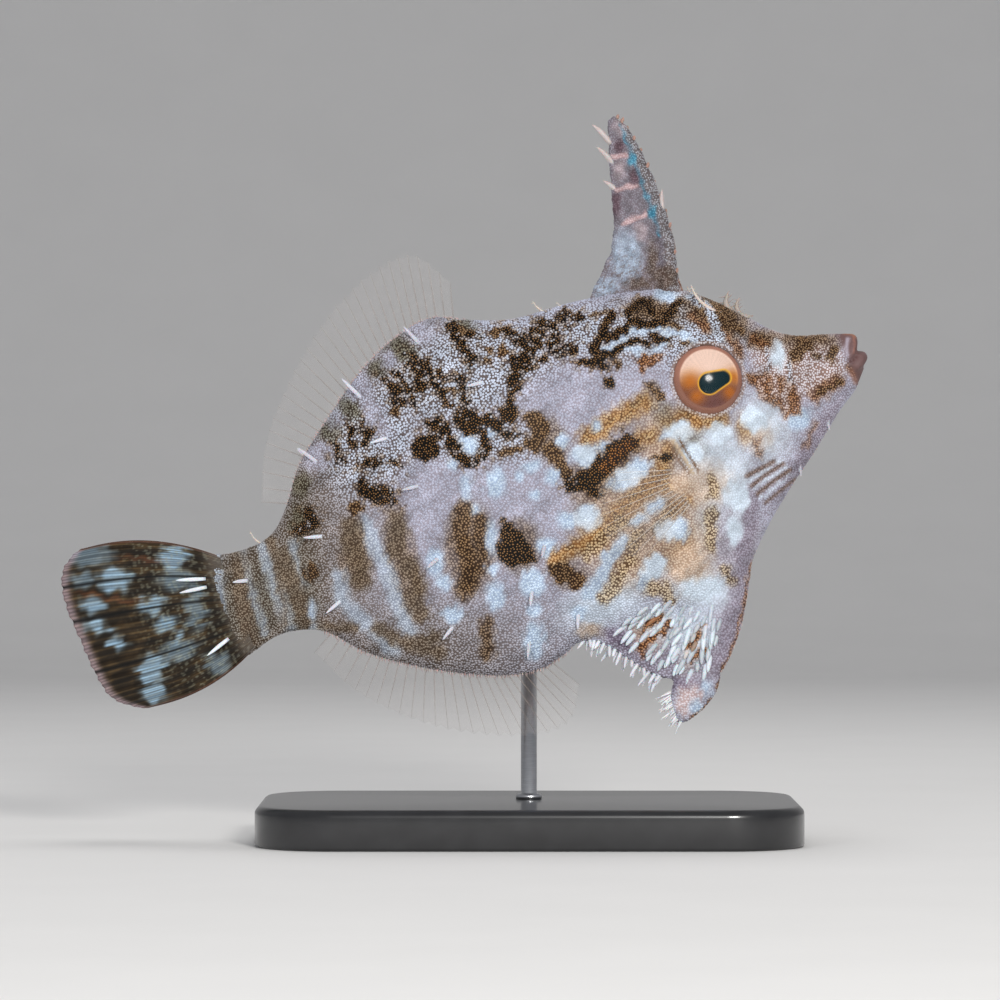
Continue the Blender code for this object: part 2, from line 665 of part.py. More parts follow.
def make_tail_fin():
    columns = 4 * TAIL_RAYS
    middles, halves = [], []
    for row in range(TAIL_ROWS + 1):
        reach = row / TAIL_ROWS
        line, thick = [], []
        for i in range(columns + 1):
            share = i / columns
            (s0, t0), (s1, t1) = path_at(TAIL_BASE, share), path_at(TAIL_MARGIN, share)
            bulge = TAIL_TOP_BULGE + (TAIL_LOW_BULGE - TAIL_TOP_BULGE) * share
            fork = min(max((reach - 0.4) / 0.3, 0.0), 1.0)
            one = (0.0, 0.5, 1.0, 0.5)[i % 4]
            two = (0.0, 1.0, 0.4, 1.0)[i % 4]
            ridge = one + (two - one) * fork
            root = (TAIL_ROOT_HALF - FIN_HALF) * max(1 - reach / 0.22, 0.0) ** 1.5
            s = s0 + (s1 - s0) * reach
            t = t0 + (t1 - t0) * reach + bulge * 4 * reach * (1 - reach) ** 1.2
            line.append((s, t, TAIL_SWING * reach**2))
            edge_taper = 1.0 - 0.35 * reach
            thick.append(FIN_HALF + root + RAY_RISE * ridge * edge_taper)
        middles.append(line)
        halves.append(thick)
    return sheet("tail_fin", middles, halves, FIN_SKIN)


def make_pectoral(name, side):
    # The lobe lies against the flank, and the fan of rays lifts off behind it
    columns = 2 * PECTORAL_RAYS
    lift = math.tan(math.radians(PECTORAL_LIFT_DEG))
    lobe_end = PECTORAL_REACHES[3]
    middles, halves = [], []
    for reach in PECTORAL_REACHES:
        line, thick = [], []
        lobe = math.sin(math.pi * min(reach / lobe_end, 1.0)) * (LOBE_HALF - FIN_HALF)
        for i in range(columns + 1):
            share = i / columns
            s0, t0 = path_at(PECTORAL_ROOT, share)
            turn = math.radians(curve_at(PECTORAL_TURN_DEG, share))
            crest = i % 2
            out = curve_at(PECTORAL_LENGTH, share) * reach * (1.0 + 0.03 * crest)
            s = s0 + out * math.cos(turn)
            t = t0 + out * math.sin(turn)
            half = FIN_HALF + lobe * math.sin(math.pi * min(max(share, 0.08), 0.92))
            rise = RAY_RISE * (1 - 0.5 * reach) * min(reach / lobe_end, 1.0)
            ridge = rise * crest
            clear = half_width_at(s, t) + GAP + FIN_ROOT_ROOM + half + rise
            line.append((s, t, side * (clear + lift * max(out - 2.0, 0.0))))
            thick.append(half + ridge)
        middles.append(line)
        halves.append(thick)
    return sheet(name, middles, halves, FIN_SKIN)


def make_pelvis():
    # A wedge, thick in front, whose top follows the edge of the flap
    rear_top, front_top = PELVIS_TOP
    top = [
        (s, curve_at(BELLY, s) - GAP - FIN_ROOT_ROOM)
        for s in (rear_top, (rear_top + front_top) / 2, front_top)
    ]
    outline = PELVIS_LOW + top
    count = len(outline)
    front, rear = min(p[0] for p in outline), max(p[0] for p in outline)
    points = []
    for side in (-1, 1):
        for inset, fullness in ((0.0, 0.55), (0.3, 1.0)):
            for s, t in outline:
                share = (s - front) / (rear - front)
                half = PELVIS_FRONT_HALF + (PELVIS_REAR_HALF - PELVIS_FRONT_HALF) * share
                s_in = s + (PELVIS_MIDDLE[0] - s) * inset
                t_in = t + (PELVIS_MIDDLE[1] - t) * inset
                points.append(place(s_in, t_in, side * half * fullness))
    right_rim, right_face, left_rim, left_face = (k * count for k in range(4))
    faces = [tuple(right_face + i for i in range(count)), tuple(left_face + i for i in range(count))]
    for i in range(count):
        k = (i + 1) % count
        faces.append((right_rim + i, right_rim + k, left_rim + k, left_rim + i))
        faces.append((right_rim + i, right_rim + k, right_face + k, right_face + i))
        faces.append((left_rim + i, left_rim + k, left_face + k, left_face + i))
    return add_object("pelvis_tip", points, faces, PALE_SKIN)


def flank_tassel(name, row, side, shift):
    # One tassel whose root is sunk in the flank
    s0, t0, s1, t1, off = row
    skin = TAIL_ROOT_HALF * 0.7 if name == "tail_fin" else half_width_at(s0, t0)
    depth = min(0.45, skin * 0.5)
    root = place(s0 + shift, t0 - shift / 2, side * (skin - depth))
    tip = place(s1 + shift, t1 - shift / 2, side * (half_width_at(s1, t1) + off))
    bend = root.lerp(tip, 0.5) + Vector((0, side * 0.12 * MM, 0))
    return spike(root, tip, TASSEL_RADIUS, bend)


def tassels(name):
    # Skin tassels of one node, the same on both flanks apart from small shifts on the left
    draw = random.Random(name)
    pieces = []
    for row in TASSELS[name]:
        shift = draw.uniform(-TASSEL_SHIFT, TASSEL_SHIFT)
        pieces += [flank_tassel(name, row, -1, 0.0), flank_tassel(name, row, 1, shift)]
    for row in RIGHT_TASSELS.get(name, []):
        pieces.append(flank_tassel(name, row, -1, 0.0))
    for s0, t0, s1, t1 in BACK_TASSELS.get(name, []):
        lean = draw.uniform(-0.3, 0.3)
        pieces.append(spike(place(s0, t0), place(s1, t1, lean), TASSEL_RADIUS))
    return pieces


def spine_forms():
    # Barbs on the front edge of the spine, to left and right in turn, and one hooked tassel
    pieces = []
    for i in range(BARBS):
        s, t, deep, wide = path_at(SPINE, 0.2 + 0.72 * i / (BARBS - 1))
        side = (-1) ** i
        root = place(s - 0.3 * deep, t - 0.1, side * wide * 0.35)
        tip = place(s - deep - BARB_REACH * 0.7, t + BARB_REACH, side * (wide * 0.45 + 0.1))
        pieces.append(spike(root, tip, BARB_RADIUS, sides=3))
    foot, knee, end = SPINE_HOOK
    pieces.append(spike(place(*foot, -0.2), place(*end, -0.5), TASSEL_RADIUS, place(*knee, -0.4)))
    return pieces


def web_forms():
    # Tassels behind the web, and raised bands across both its faces
    pieces = []
    for s0, t0, s1, t1 in WEB_TASSELS:
        pieces.append(spike(place(s0, t0), place(s1, t1, -0.3), TASSEL_RADIUS))
    for s0, t0, s1, t1 in WEB_BANDS:
        for side in (-1, 1):
            front = place(s0, t0, side * WEB_FRONT_HALF * 0.85)
            rear = place(s1, t1, side * WEB_REAR_HALF * 1.2)
            pieces.append(spike(front, rear, BAND_RADIUS))
    return pieces


def flap_ridges(draw):
    # Ridges in staggered rows that fan out over both faces of the flap
    pieces = []
    first, last = (math.radians(turn) for turn in FAN_TURN_DEG)
    rows = int((FAN_REACH[1] - FAN_REACH[0]) / RIDGE_ROW) + 1
    for row in range(rows):
        reach = FAN_REACH[0] + row * RIDGE_ROW
        count = int(reach * (first - last) / RIDGE_SPACING)
        for i in range(count):
            turn = first + (last - first) * (i + 0.5 * (row % 2) + 0.3) / count
            length = RIDGE_LENGTH * draw.uniform(0.85, 1.1)
            near, far = reach, reach + length
            s0, t0 = FAN_POINT[0] + near * math.cos(turn), FAN_POINT[1] + near * math.sin(turn)
            s1, t1 = FAN_POINT[0] + far * math.cos(turn), FAN_POINT[1] + far * math.sin(turn)
            high = max(t0 - curve_at(FLAP_CUT, s0), t1 - curve_at(FLAP_CUT, s1))
            if high > -RIDGE_ROOM or t1 < curve_at(BELLY, s1) + RIDGE_ROOM or s1 > 34.5:
                continue
            for side in (-1, 1):
                root = place(s0, t0, side * (half_width_at(s0, t0) - RIDGE_RADIUS))
                tip = place(s1, t1, side * (half_width_at(s1, t1) + RIDGE_RISE))
                pieces.append(spike(root, tip, RIDGE_RADIUS))
    return pieces


def flap_fringe(draw):
    # Bristles along the rear edge of the flap
    pieces = []
    for i in range(int((FRINGE_END - FRINGE_START) / FRINGE_STEP) + 1):
        s = FRINGE_START + i * FRINGE_STEP
        turn = math.radians(FRINGE_TURN_DEG + draw.uniform(-10, 10))
        out = FRINGE_LENGTH * draw.uniform(0.7, 1.15)
        edge = curve_at(BELLY, s)
        lean = (-1) ** i * 0.2
        along, up = math.cos(turn), math.sin(turn)
        root = place(s - FRINGE_SINK * along, edge - FRINGE_SINK * up, lean)
        tip = place(s + out * along, edge + out * up, lean * 2)
        pieces.append(spike(root, tip, FRINGE_RADIUS))
    return pieces


def pelvis_forms():
    # Small spines on the rear edge of the pelvis tip
    pieces = []
    for i in range(PELVIS_SPINES):
        share = i / (PELVIS_SPINES - 1)
        s, t = 30.0 + 0.2 * share, -24.5 - 3.0 * share
        length = PELVIS_SPINE_LENGTH * (0.8 + 0.3 * ((i * 5) % 3) / 2)
        side = (-1) ** i * 0.12
        root = place(s, t, side)
        tip = place(s + 0.6 + length, t - 0.1 - 0.4 * share, side * 2)
        pieces.append(spike(root, tip, PELVIS_SPINE_RADIUS))
    return pieces


def gill_folds():
    # A low ridge of skin behind each gill slit
    s0, t0, s1, t1 = GILL_FOLD
    pieces = []
    for side in (-1, 1):
        root = place(s0, t0, side * (half_width_at(s0, t0) - 0.15))
        tip = place(s1, t1, side * half_width_at(s1, t1))
        pieces.append(spike(root, tip, GILL_FOLD_RADIUS))
    return pieces


def make_base():
    # A low slab with round corners and a softened top rim
    mesh = bpy.data.meshes.new("stand_base")
    bm = bmesh.new()
    corners = [
        (sx * (BASE_LENGTH / 2 - BASE_CORNER), sy * (BASE_WIDTH / 2 - BASE_CORNER), start)
        for sx, sy, start in ((1, 1, 0), (-1, 1, 90), (-1, -1, 180), (1, -1, 270))
    ]
    outline = []
    for x, y, start in corners:
        for k in range(7):
            turn = math.radians(start + 15 * k)
            outline.append((x + BASE_CORNER * math.cos(turn), y + BASE_CORNER * math.sin(turn)))
    floor_face = bm.faces.new([bm.verts.new((x * MM, y * MM, 0.0)) for x, y in outline])
    raised = bmesh.ops.extrude_face_region(bm, geom=[floor_face])
    top = [v for v in raised["geom"] if isinstance(v, bmesh.types.BMVert)]
    bmesh.ops.translate(bm, verts=top, vec=(0, 0, BASE_HEIGHT * MM))
    rim = [e for e in bm.edges if all(v in top for v in e.verts)]
    bmesh.ops.bevel(bm, geom=rim, offset=BASE_BEVEL * MM, segments=2, affect="EDGES", profile=0.5)
    bmesh.ops.recalc_face_normals(bm, faces=bm.faces)
    bm.to_mesh(mesh)
    bm.free()
    mesh.materials.append(material_of(BASE_PAINT))
    base = bpy.data.objects.new("stand_base", mesh)
    base.location = (ROD_X * MM, 0, 0)
    bpy.context.scene.collection.objects.link(base)
    return base


def upright(name, radius, low, high, finish):
    mesh = bpy.data.meshes.new(name)
    bm = bmesh.new()
    bmesh.ops.create_cone(
        bm, cap_ends=True, segments=20, radius1=radius * MM, radius2=radius * MM,
        depth=(high - low) * MM,
    )
    bm.to_mesh(mesh)
    bm.free()
    mesh.materials.append(material_of(finish))
    made = bpy.data.objects.new(name, mesh)
    made.location = (ROD_X * MM, ROD_Y * MM, (low + high) / 2 * MM)
    bpy.context.scene.collection.objects.link(made)
    return made


def main():
    for old in list(bpy.data.objects):
        bpy.data.objects.remove(old)
    nodes = part_the_body(make_whole_body())
    make_eyes(nodes["head"])
    cut_nostrils(nodes["head"])
    cut_gill_slits(nodes["head"], nodes["trunk"])
    fuse(nodes["head"], tassels("head"))
    fuse(nodes["trunk"], tassels("trunk") + gill_folds())
    fuse(nodes["stalk"], tassels("stalk"))
    draw = random.Random("flap")
    fuse(nodes["flap"], flap_ridges(draw) + flap_fringe(draw))
    fuse(make_spine(), spine_forms())
    fuse(make_web(), web_forms())
    make_long_fin("dorsal_fin", BACK, 1, DORSAL)
    make_long_fin("anal_fin", BELLY, -1, ANAL)
    fuse(make_tail_fin(), tassels("tail_fin"))
    make_pectoral("pectoral_fin_right", -1)
    make_pectoral("pectoral_fin_left", 1)
    fuse(make_pelvis(), pelvis_forms())

    pose = bpy.data.objects.new("fish_pose", None)
    pose.location = (SNOUT_X * MM, 0, SNOUT_Z * MM)
    pose.rotation_euler = (0, -math.radians(PITCH_DEG), 0)
    bpy.context.scene.collection.objects.link(pose)
    for made in bpy.data.objects:
        if made.type == "MESH":
            made.parent = pose
    make_base()
    upright("stand_rod", ROD_RADIUS, BASE_HEIGHT + GAP, ROD_TOP, ROD_STEEL)
    socket = upright("rod_socket", ROD_RADIUS + GAP, BASE_HEIGHT, ROD_TOP + GAP, SKIN)
    combine(nodes["trunk"], socket, "DIFFERENCE")
    for made in bpy.data.objects:
        if made.type == "MESH" and "fin" not in made.name:
            shade(made)


main()
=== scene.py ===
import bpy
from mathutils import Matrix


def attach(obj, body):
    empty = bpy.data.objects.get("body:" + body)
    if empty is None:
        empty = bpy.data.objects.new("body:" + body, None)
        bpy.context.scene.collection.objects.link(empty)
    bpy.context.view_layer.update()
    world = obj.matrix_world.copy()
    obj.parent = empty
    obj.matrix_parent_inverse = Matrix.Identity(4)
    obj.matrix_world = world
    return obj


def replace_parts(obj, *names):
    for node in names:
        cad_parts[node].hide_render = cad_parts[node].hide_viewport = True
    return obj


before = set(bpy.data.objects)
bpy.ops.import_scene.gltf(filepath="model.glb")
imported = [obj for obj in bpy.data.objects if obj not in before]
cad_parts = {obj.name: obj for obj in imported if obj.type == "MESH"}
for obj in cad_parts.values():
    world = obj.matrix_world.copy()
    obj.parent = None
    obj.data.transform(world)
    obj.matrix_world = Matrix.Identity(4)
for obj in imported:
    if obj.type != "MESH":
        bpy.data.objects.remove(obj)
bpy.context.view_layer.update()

import math
import bmesh
import bpy
import numpy as np
from mathutils import Matrix, Vector

mm = 0.001

# How the fish is held: its own frame runs s back from the lip, t up, y to its left, in mm
pose = {"pitchDeg": 21.0, "snoutX": 40.3, "snoutZ": 48.4}
tiltCos, tiltSin = math.cos(math.radians(pose["pitchDeg"])), math.sin(math.radians(pose["pitchDeg"]))
# Places on the fish are named in tenths of a millimetre from the side view's upper left
sideView = {"zeroX": 465.5, "offsetX": 0.15, "floorY": 840.0, "unit": 0.1}


def toWorld(s, t, y):
    s, t, y = np.broadcast_arrays(np.asarray(s, float), t, y)
    x = pose["snoutX"] - tiltCos * s - tiltSin * t
    z = pose["snoutZ"] - tiltSin * s + tiltCos * t
    return np.stack([x, y, z], -1) * mm


def toView(points):
    points = np.asarray(points) / mm
    across = (points[..., 0] - sideView["offsetX"]) / sideView["unit"] + sideView["zeroX"]
    return np.stack([across, sideView["floorY"] - points[..., 2] / sideView["unit"]], -1)


def worldToFish(points):
    points = np.asarray(points) / mm
    x, z = points[..., 0] - pose["snoutX"], points[..., 2] - pose["snoutZ"]
    return -tiltCos * x - tiltSin * z, -tiltSin * x + tiltCos * z, points[..., 1]


def heading(s, t, y=0.0):
    # A direction in the fish's frame, turned into the world's
    return toWorld(s, t, y) - toWorld(0.0, 0.0, 0.0)


def unit(vectors):
    return vectors / np.linalg.norm(vectors, axis=-1, keepdims=True)


def circle(sides):
    return np.linspace(0, 2 * math.pi, sides, endpoint=False)


def smoothCurve(points):
    at, value = np.array(points, float).T
    slope = np.gradient(value, at)
    slope[1:-1] = (value[2:] - value[:-2]) / (at[2:] - at[:-2])

    def read(x):
        x = np.clip(x, at[0], at[-1])
        k = np.clip(np.searchsorted(at, x, side="right") - 1, 0, len(at) - 2)
        run = at[k + 1] - at[k]
        u = (x - at[k]) / run
        return ((2 * u**3 - 3 * u**2 + 1) * value[k] + (u**3 - 2 * u**2 + u) * run * slope[k]
                + (3 * u**2 - 2 * u**3) * value[k + 1] + (u**3 - u**2) * run * slope[k + 1])
    return read


# Outline and thickness of the body, as the solids have them
bodyShape = {
    "back": [(0, 0.75), (0.45, 1.7), (0.9, 2.7), (1.7, 3.05), (3, 3.5), (6, 4.5), (8, 5.9), (11, 9.3),
             (15, 12.8), (20, 14.6), (26, 15.6), (32, 16.2), (36, 17.7), (39.5, 19.2), (44, 18.4),
             (48, 16.6), (53, 13.2), (57, 10.1), (59.5, 6.9), (62, 4.7), (65.5, 4.3), (68.5, 5.0),
             (71.4, 6.0)],
    "belly": [(0, -0.35), (0.9, -1.25), (2.3, -2.7), (4.5, -4.1), (8, -6.8), (11.5, -9.3), (15, -12),
              (18, -15), (19.7, -18), (21.3, -20.6), (23.3, -22.9), (25, -24.3), (26.3, -24.4),
              (27.7, -23.9), (29.2, -23.4), (31.2, -22.3), (33, -19.9), (35, -17.4), (37, -16.4), (39, -17),
              (41.5, -17.5), (45, -16.9), (49, -15.2), (53.5, -12.6), (57.5, -9.6), (60, -6.7), (62, -5.5),
              (65, -5), (68.5, -5.8), (71.4, -6.2)],
    "keel": [(17, -13.9), (20, -16), (25, -17.2), (31, -17), (37, -16.4)],
    "halfWidth": [(0, 0.6), (0.4, 1.2), (1.2, 1.75), (2.4, 1.85), (5, 2.2), (8, 2.9), (11, 3.8), (14, 4.7),
                  (18, 5.4), (24, 5.9), (32, 6), (40, 5.5), (47, 4.5), (53, 3.3), (58, 2.3), (62, 1.75),
                  (67.4, 1.25), (68.4, 1.02), (69.0, 0.66), (69.5, 0.2)],
    "widest": [(0, 0.2), (1, 0.55), (2.6, 0.35), (5, 0), (10, 0.4), (16, 1.2), (24, 0), (34, 0.4),
               (44, 1), (54, 1.2), (60, 0.2), (68.5, -0.4)],
    "keelHalf": [(0, 0.45), (8, 0.6), (16, 0.85), (22, 1.1), (32, 1.1), (40, 0.8), (56, 0.6), (68.4, 0.55),
                 (69.5, 0.12)],
    "roundness": 0.6, "flapThinning": 0.45, "flapDepth": 7.0,
    "swellings": [(15.9, 3.5, 4.2, 4.2, 0.28), (22.6, -5.4, 2.4, 4.0, 0.3), (19.0, 9.5, 4.5, 2.6, 0.25)],
    "start": 0.75, "end": 69.4, "rings": 300, "flankPoints": 58, "keelPoints": 14,
    "mapLength": 78.0, "mapRound": 100.0,  # millimetres along and round the fish to one unit of the map
}
backAt, bellyAt = smoothCurve(bodyShape["back"]), smoothCurve(bodyShape["belly"])
keelCurve, widthAt = smoothCurve(bodyShape["keel"]), smoothCurve(bodyShape["halfWidth"])
widestAt, keelHalfAt = smoothCurve(bodyShape["widest"]), smoothCurve(bodyShape["keelHalf"])


def keelAt(s):
    edge = bellyAt(s)
    inside = (s > bodyShape["keel"][0][0]) & (s < bodyShape["keel"][-1][0])
    return np.where(inside, np.maximum(keelCurve(s), edge), edge)


def halfWidthAt(s, t):
    s, t = np.asarray(s, float), np.asarray(t, float)
    top, bottom, widest, edge = backAt(s), keelAt(s), widestAt(s), bellyAt(s)
    reach = np.where(t > widest, top - widest, widest - bottom)
    u = np.minimum(np.abs(t - widest) / reach, 1.0)
    thick = widthAt(s) * (1 - u * u) ** bodyShape["roundness"]
    v = np.minimum(np.abs(2 * t - top - edge) / (top - edge), 1.0)
    hang = np.clip((bottom - t) / bodyShape["flapDepth"], 0.0, 1.0)
    thin = keelHalfAt(s) * (1 - bodyShape["flapThinning"] * hang) * (1 - v**8) ** 0.5
    rise = 0.0
    for atS, atT, along, up, height in bodyShape["swellings"]:
        rise = rise + height * np.exp(-((s - atS) / along) ** 2 - ((t - atT) / up) ** 2)
    return (thick**3 + thin**3) ** (1 / 3) + rise * (1 - u * u)


def outward(s, t, side, nudge=0.2):
    along = (halfWidthAt(s + nudge, t) - halfWidthAt(s - nudge, t)) / (2 * nudge)
    up = (halfWidthAt(s, t + nudge) - halfWidthAt(s, t - nudge)) / (2 * nudge)
    # Turned from the fish's frame, where s runs against x, into the world's
    x, z = tiltCos * along + tiltSin * up, tiltSin * along - tiltCos * up
    return unit(np.stack([x, np.broadcast_to(float(side), np.shape(x)), z], -1))


def makeObject(name, points, faces):
    mesh = bpy.data.meshes.new(name)
    mesh.from_pydata(np.asarray(points).reshape(-1, 3).tolist(), [], faces)
    mesh.update()
    mesh.shade_smooth()
    made = bpy.data.objects.new(name, mesh)
    bpy.context.scene.collection.objects.link(made)
    return made


def gridFaces(rows, columns, start=0, closed=False):
    last = columns if closed else columns - 1
    faces = []
    for i in range(rows - 1):
        for j in range(last):
            k = (j + 1) % columns
            faces.append((start + i * columns + j, start + i * columns + k,
                          start + (i + 1) * columns + k, start + (i + 1) * columns + j))
    return faces


def faceOutwards(made):
    bm = bmesh.new()
    bm.from_mesh(made.data)
    bmesh.ops.recalc_face_normals(bm, faces=bm.faces)
    bm.to_mesh(made.data)
    bm.free()
    return made


def ringsAlong(line, radii, sides, guide):
    # Circles round a line, square to it
    run = unit(np.gradient(line, axis=0))
    across = unit(np.cross(run, guide))
    other = np.cross(run, across)
    turn = circle(sides)[None, :, None]
    return line[:, None] + (across[:, None] * np.cos(turn) + other[:, None] * np.sin(turn)) * (
        radii[:, None, None] * mm)


def tube(name, rings):
    # Closed skin round a list of rings of points
    rings = np.asarray(rings)
    count, sides = rings.shape[:2]
    points = np.concatenate([rings.reshape(-1, 3), rings[:1].mean(1), rings[-1:].mean(1)])
    faces = gridFaces(count, sides, closed=True)
    for j in range(sides):
        k = (j + 1) % sides
        faces.append((k, j, count * sides))
        faces.append(((count - 1) * sides + j, (count - 1) * sides + k, count * sides + 1))
    return faceOutwards(makeObject(name, points, faces))


def joinAll(name, objects):
    target = objects[0]
    with bpy.context.temp_override(active_object=target, selected_objects=objects,
                                   selected_editable_objects=objects, object=target):
        bpy.ops.object.join()
    target.name = name
    return target


def takeModifiers(made):
    bpy.context.view_layer.update()
    graph = bpy.context.evaluated_depsgraph_get()
    mesh = bpy.data.meshes.new_from_object(made.evaluated_get(graph), preserve_all_data_layers=True,
                                           depsgraph=graph)
    made.modifiers.clear()
    made.data = mesh
    return made


def remesh(made, size, smoothing):
    voxels = made.modifiers.new("remesh", "REMESH")
    voxels.mode, voxels.voxel_size, voxels.use_smooth_shade = "VOXEL", size * mm, True
    soft = made.modifiers.new("soften", "SMOOTH")
    soft.factor, soft.iterations = 0.5, smoothing
    return takeModifiers(made)


def readAll(items, name, width, kind=np.float32):
    found = np.empty(len(items) * width, kind)
    items.foreach_get(name, found)
    return found.reshape(-1, width)


def pointsOf(made):
    return readAll(made.data.vertices, "co", 3).astype(float)


def normalsOf(made):
    return readAll(made.data.vertex_normals, "vector", 3).astype(float)


def setPoints(made, points):
    made.data.vertices.foreach_set("co", np.asarray(points).ravel())
    made.data.update()


def setColour(made, name, colour):
    # Colours are mixed as the eye names them, from 0 to 255, and kept as light
    share = np.clip(np.asarray(colour) / 255.0, 0, 1)
    light = np.where(share <= 0.04045, share / 12.92, ((share + 0.055) / 1.055) ** 2.4)
    layer = made.data.attributes.new(name, "FLOAT_COLOR", "POINT")
    layer.data.foreach_set("color", np.concatenate([light, np.ones((len(light), 1))], 1).ravel())


def setValues(made, name, kind, values):
    # A number, a pair or a vector for every point
    layer = made.data.attributes.new(name, kind, "POINT")
    layer.data.foreach_set("value" if kind == "FLOAT" else "vector", np.asarray(values, float).ravel())


# Materials

def newMaterial(name, **sockets):
    made = bpy.data.materials.new(name)
    made.use_nodes = True
    shader = made.node_tree.nodes["Principled BSDF"]
    for key, value in sockets.items():
        shader.inputs[key].default_value = value
    return made, made.node_tree, shader


def addNode(tree, kind, **settings):
    made = tree.nodes.new(kind)
    for key, value in settings.items():
        if key in made.inputs:
            made.inputs[key].default_value = value
        else:
            setattr(made, key, value)
    return made


def addRange(tree, *limits, **settings):
    made = addNode(tree, "ShaderNodeMapRange", **settings)
    for key, value in zip(("From Min", "From Max", "To Min", "To Max"), limits):
        made.inputs[key].default_value = value
    return made


def wire(tree, *rows):
    # Each row: a node and its output, the next node and its input
    for start, output, end, entry in rows:
        tree.links.new(start.outputs[output], end.inputs[entry])


def addGrain(tree, shader, paint, output, scale, strength, distance, shade=(0.9, 1.08)):
    # Fine unevenness of colour and surface under the geometry
    place = addNode(tree, "ShaderNodeTexCoord")
    noise = addNode(tree, "ShaderNodeTexNoise", Scale=scale, Detail=4.0)
    spread = addRange(tree, 0.25, 0.75, *shade)
    times = addNode(tree, "ShaderNodeVectorMath", operation="SCALE")
    bump = addNode(tree, "ShaderNodeBump", Strength=strength, Distance=distance)
    wire(tree, (place, "Object", noise, "Vector"), (noise, "Fac", spread, "Value"), (paint, output, times, 0),
         (spread, "Result", times, "Scale"), (times, "Vector", shader, "Base Color"),
         (noise, "Fac", bump, "Height"), (bump, "Normal", shader, "Normal"))
    return noise


def paintedMaterial(name, attribute, *grain, **sockets):
    made, tree, shader = newMaterial(name, **sockets)
    addGrain(tree, shader, addNode(tree, "ShaderNodeAttribute", attribute_name=attribute), "Color", *grain)
    return made


def plainMaterial(name, colour, *grain, **sockets):
    # One colour all over but for its grain
    made, tree, shader = newMaterial(name, **sockets)
    paint = addNode(tree, "ShaderNodeRGB")
    paint.outputs[0].default_value = colour
    return made, tree, addGrain(tree, shader, paint, 0, *grain)


skinMaterial = paintedMaterial("mottledSkin", "paint", 5200.0, 0.35, 0.00005,
                               **{"Roughness": 0.5, "Specular IOR Level": 0.16})


def makeGranuleMaterial():
    # Each granule has a tip of its own colour on a foot of the skin's colour
    made, tree, shader = newMaterial("skinGranules", **{"Roughness": 0.4, "Specular IOR Level": 0.18})
    foot, tip, patch, grain = (addNode(tree, "ShaderNodeAttribute", attribute_name=name)
                               for name in ("paint", "dots", "patch", "grain"))
    reach = addNode(tree, "ShaderNodeVectorMath", operation="LENGTH")
    share = addNode(tree, "ShaderNodeMath", operation="DIVIDE")
    edge = addRange(tree, 0.8, 1.15, 1.0, 0.0, interpolation_type="SMOOTHSTEP")
    mix = addNode(tree, "ShaderNodeMix", data_type="RGBA")
    wire(tree, (patch, "Vector", reach, 0), (reach, "Value", share, 0), (grain, "Fac", share, 1),
         (share, 0, edge, "Value"), (edge, "Result", mix, "Factor"), (foot, "Color", mix, "A"),
         (tip, "Color", mix, "B"))
    addGrain(tree, shader, mix, "Result", 6500.0, 0.2, 0.00003)
    return made


granuleMaterial = makeGranuleMaterial()
paleMaterial = paintedMaterial("paleTassels", "tint", 5000.0, 0.3, 0.00003,
                               **{"Roughness": 0.45, "Specular IOR Level": 0.4,
                                  "Subsurface Weight": 0.25, "Subsurface Scale": 0.0004})
finMaterial = paintedMaterial("tailSkin", "paint", 4200.0, 0.3, 0.00004,
                              **{"Roughness": 0.42, "Specular IOR Level": 0.25})
eyeMaterial = paintedMaterial("irisPaint", "paint", 9000.0, 0.01, 0.00001,
                              **{"Roughness": 0.65, "Specular IOR Level": 0.06})


# Paint: washes and markings laid over each other, named by their place in the side view

palette = {
    # name: colour of the granules, colour of the skin between them, size of the granules
    "base": ((168, 169, 185), (141, 136, 147), 0.96),
    "crisp": ((186, 195, 210), (80, 70, 68), 0.9),
    # Painted shade: a darker, warmer tone for the light falling off toward the tail
    "rear": ((146, 139, 137), (78, 66, 56), 0.85),
    # The cheek's own pale blue-white, made paler by painted light on the head
    "litCheek": ((192, 201, 212), (176, 182, 192), 1.0),
    "throat": ((168, 163, 174), (138, 130, 140), 0.95),
    "blue": ((190, 206, 222), (154, 170, 192), 0.98),
    "white": ((203, 215, 227), (186, 197, 209), 1.0),
    "peach": ((204, 182, 162), (178, 152, 130), 0.95),
    "blush": ((214, 202, 204), (184, 158, 154), 0.95),
    "ochre": ((180, 140, 90), (116, 76, 36), 0.84),
    "olive": ((108, 102, 82), (42, 34, 22), 0.68),
    "brown": ((134, 105, 74), (44, 27, 13), 0.62),
    "tawny": ((128, 112, 94), (70, 55, 42), 0.8),
    "umber": ((150, 98, 54), (40, 18, 6), 0.56),
    "rust": ((156, 108, 70), (60, 30, 12), 0.64),
    "dotted": ((192, 168, 132), (72, 50, 29), 0.78),
    "dark": ((120, 86, 50), (7, 4, 2), 0.47),
    "lip": ((124, 99, 99), (104, 78, 76), 0.5),
    "snout": ((200, 192, 196), (122, 97, 88), 0.86),
    "lilac": ((154, 148, 162), (120, 110, 122), 0.93),
    # Plum-grey: painted shadow between the flap's tongues
    "plumShadow": ((128, 117, 134), (90, 78, 96), 0.85),
}

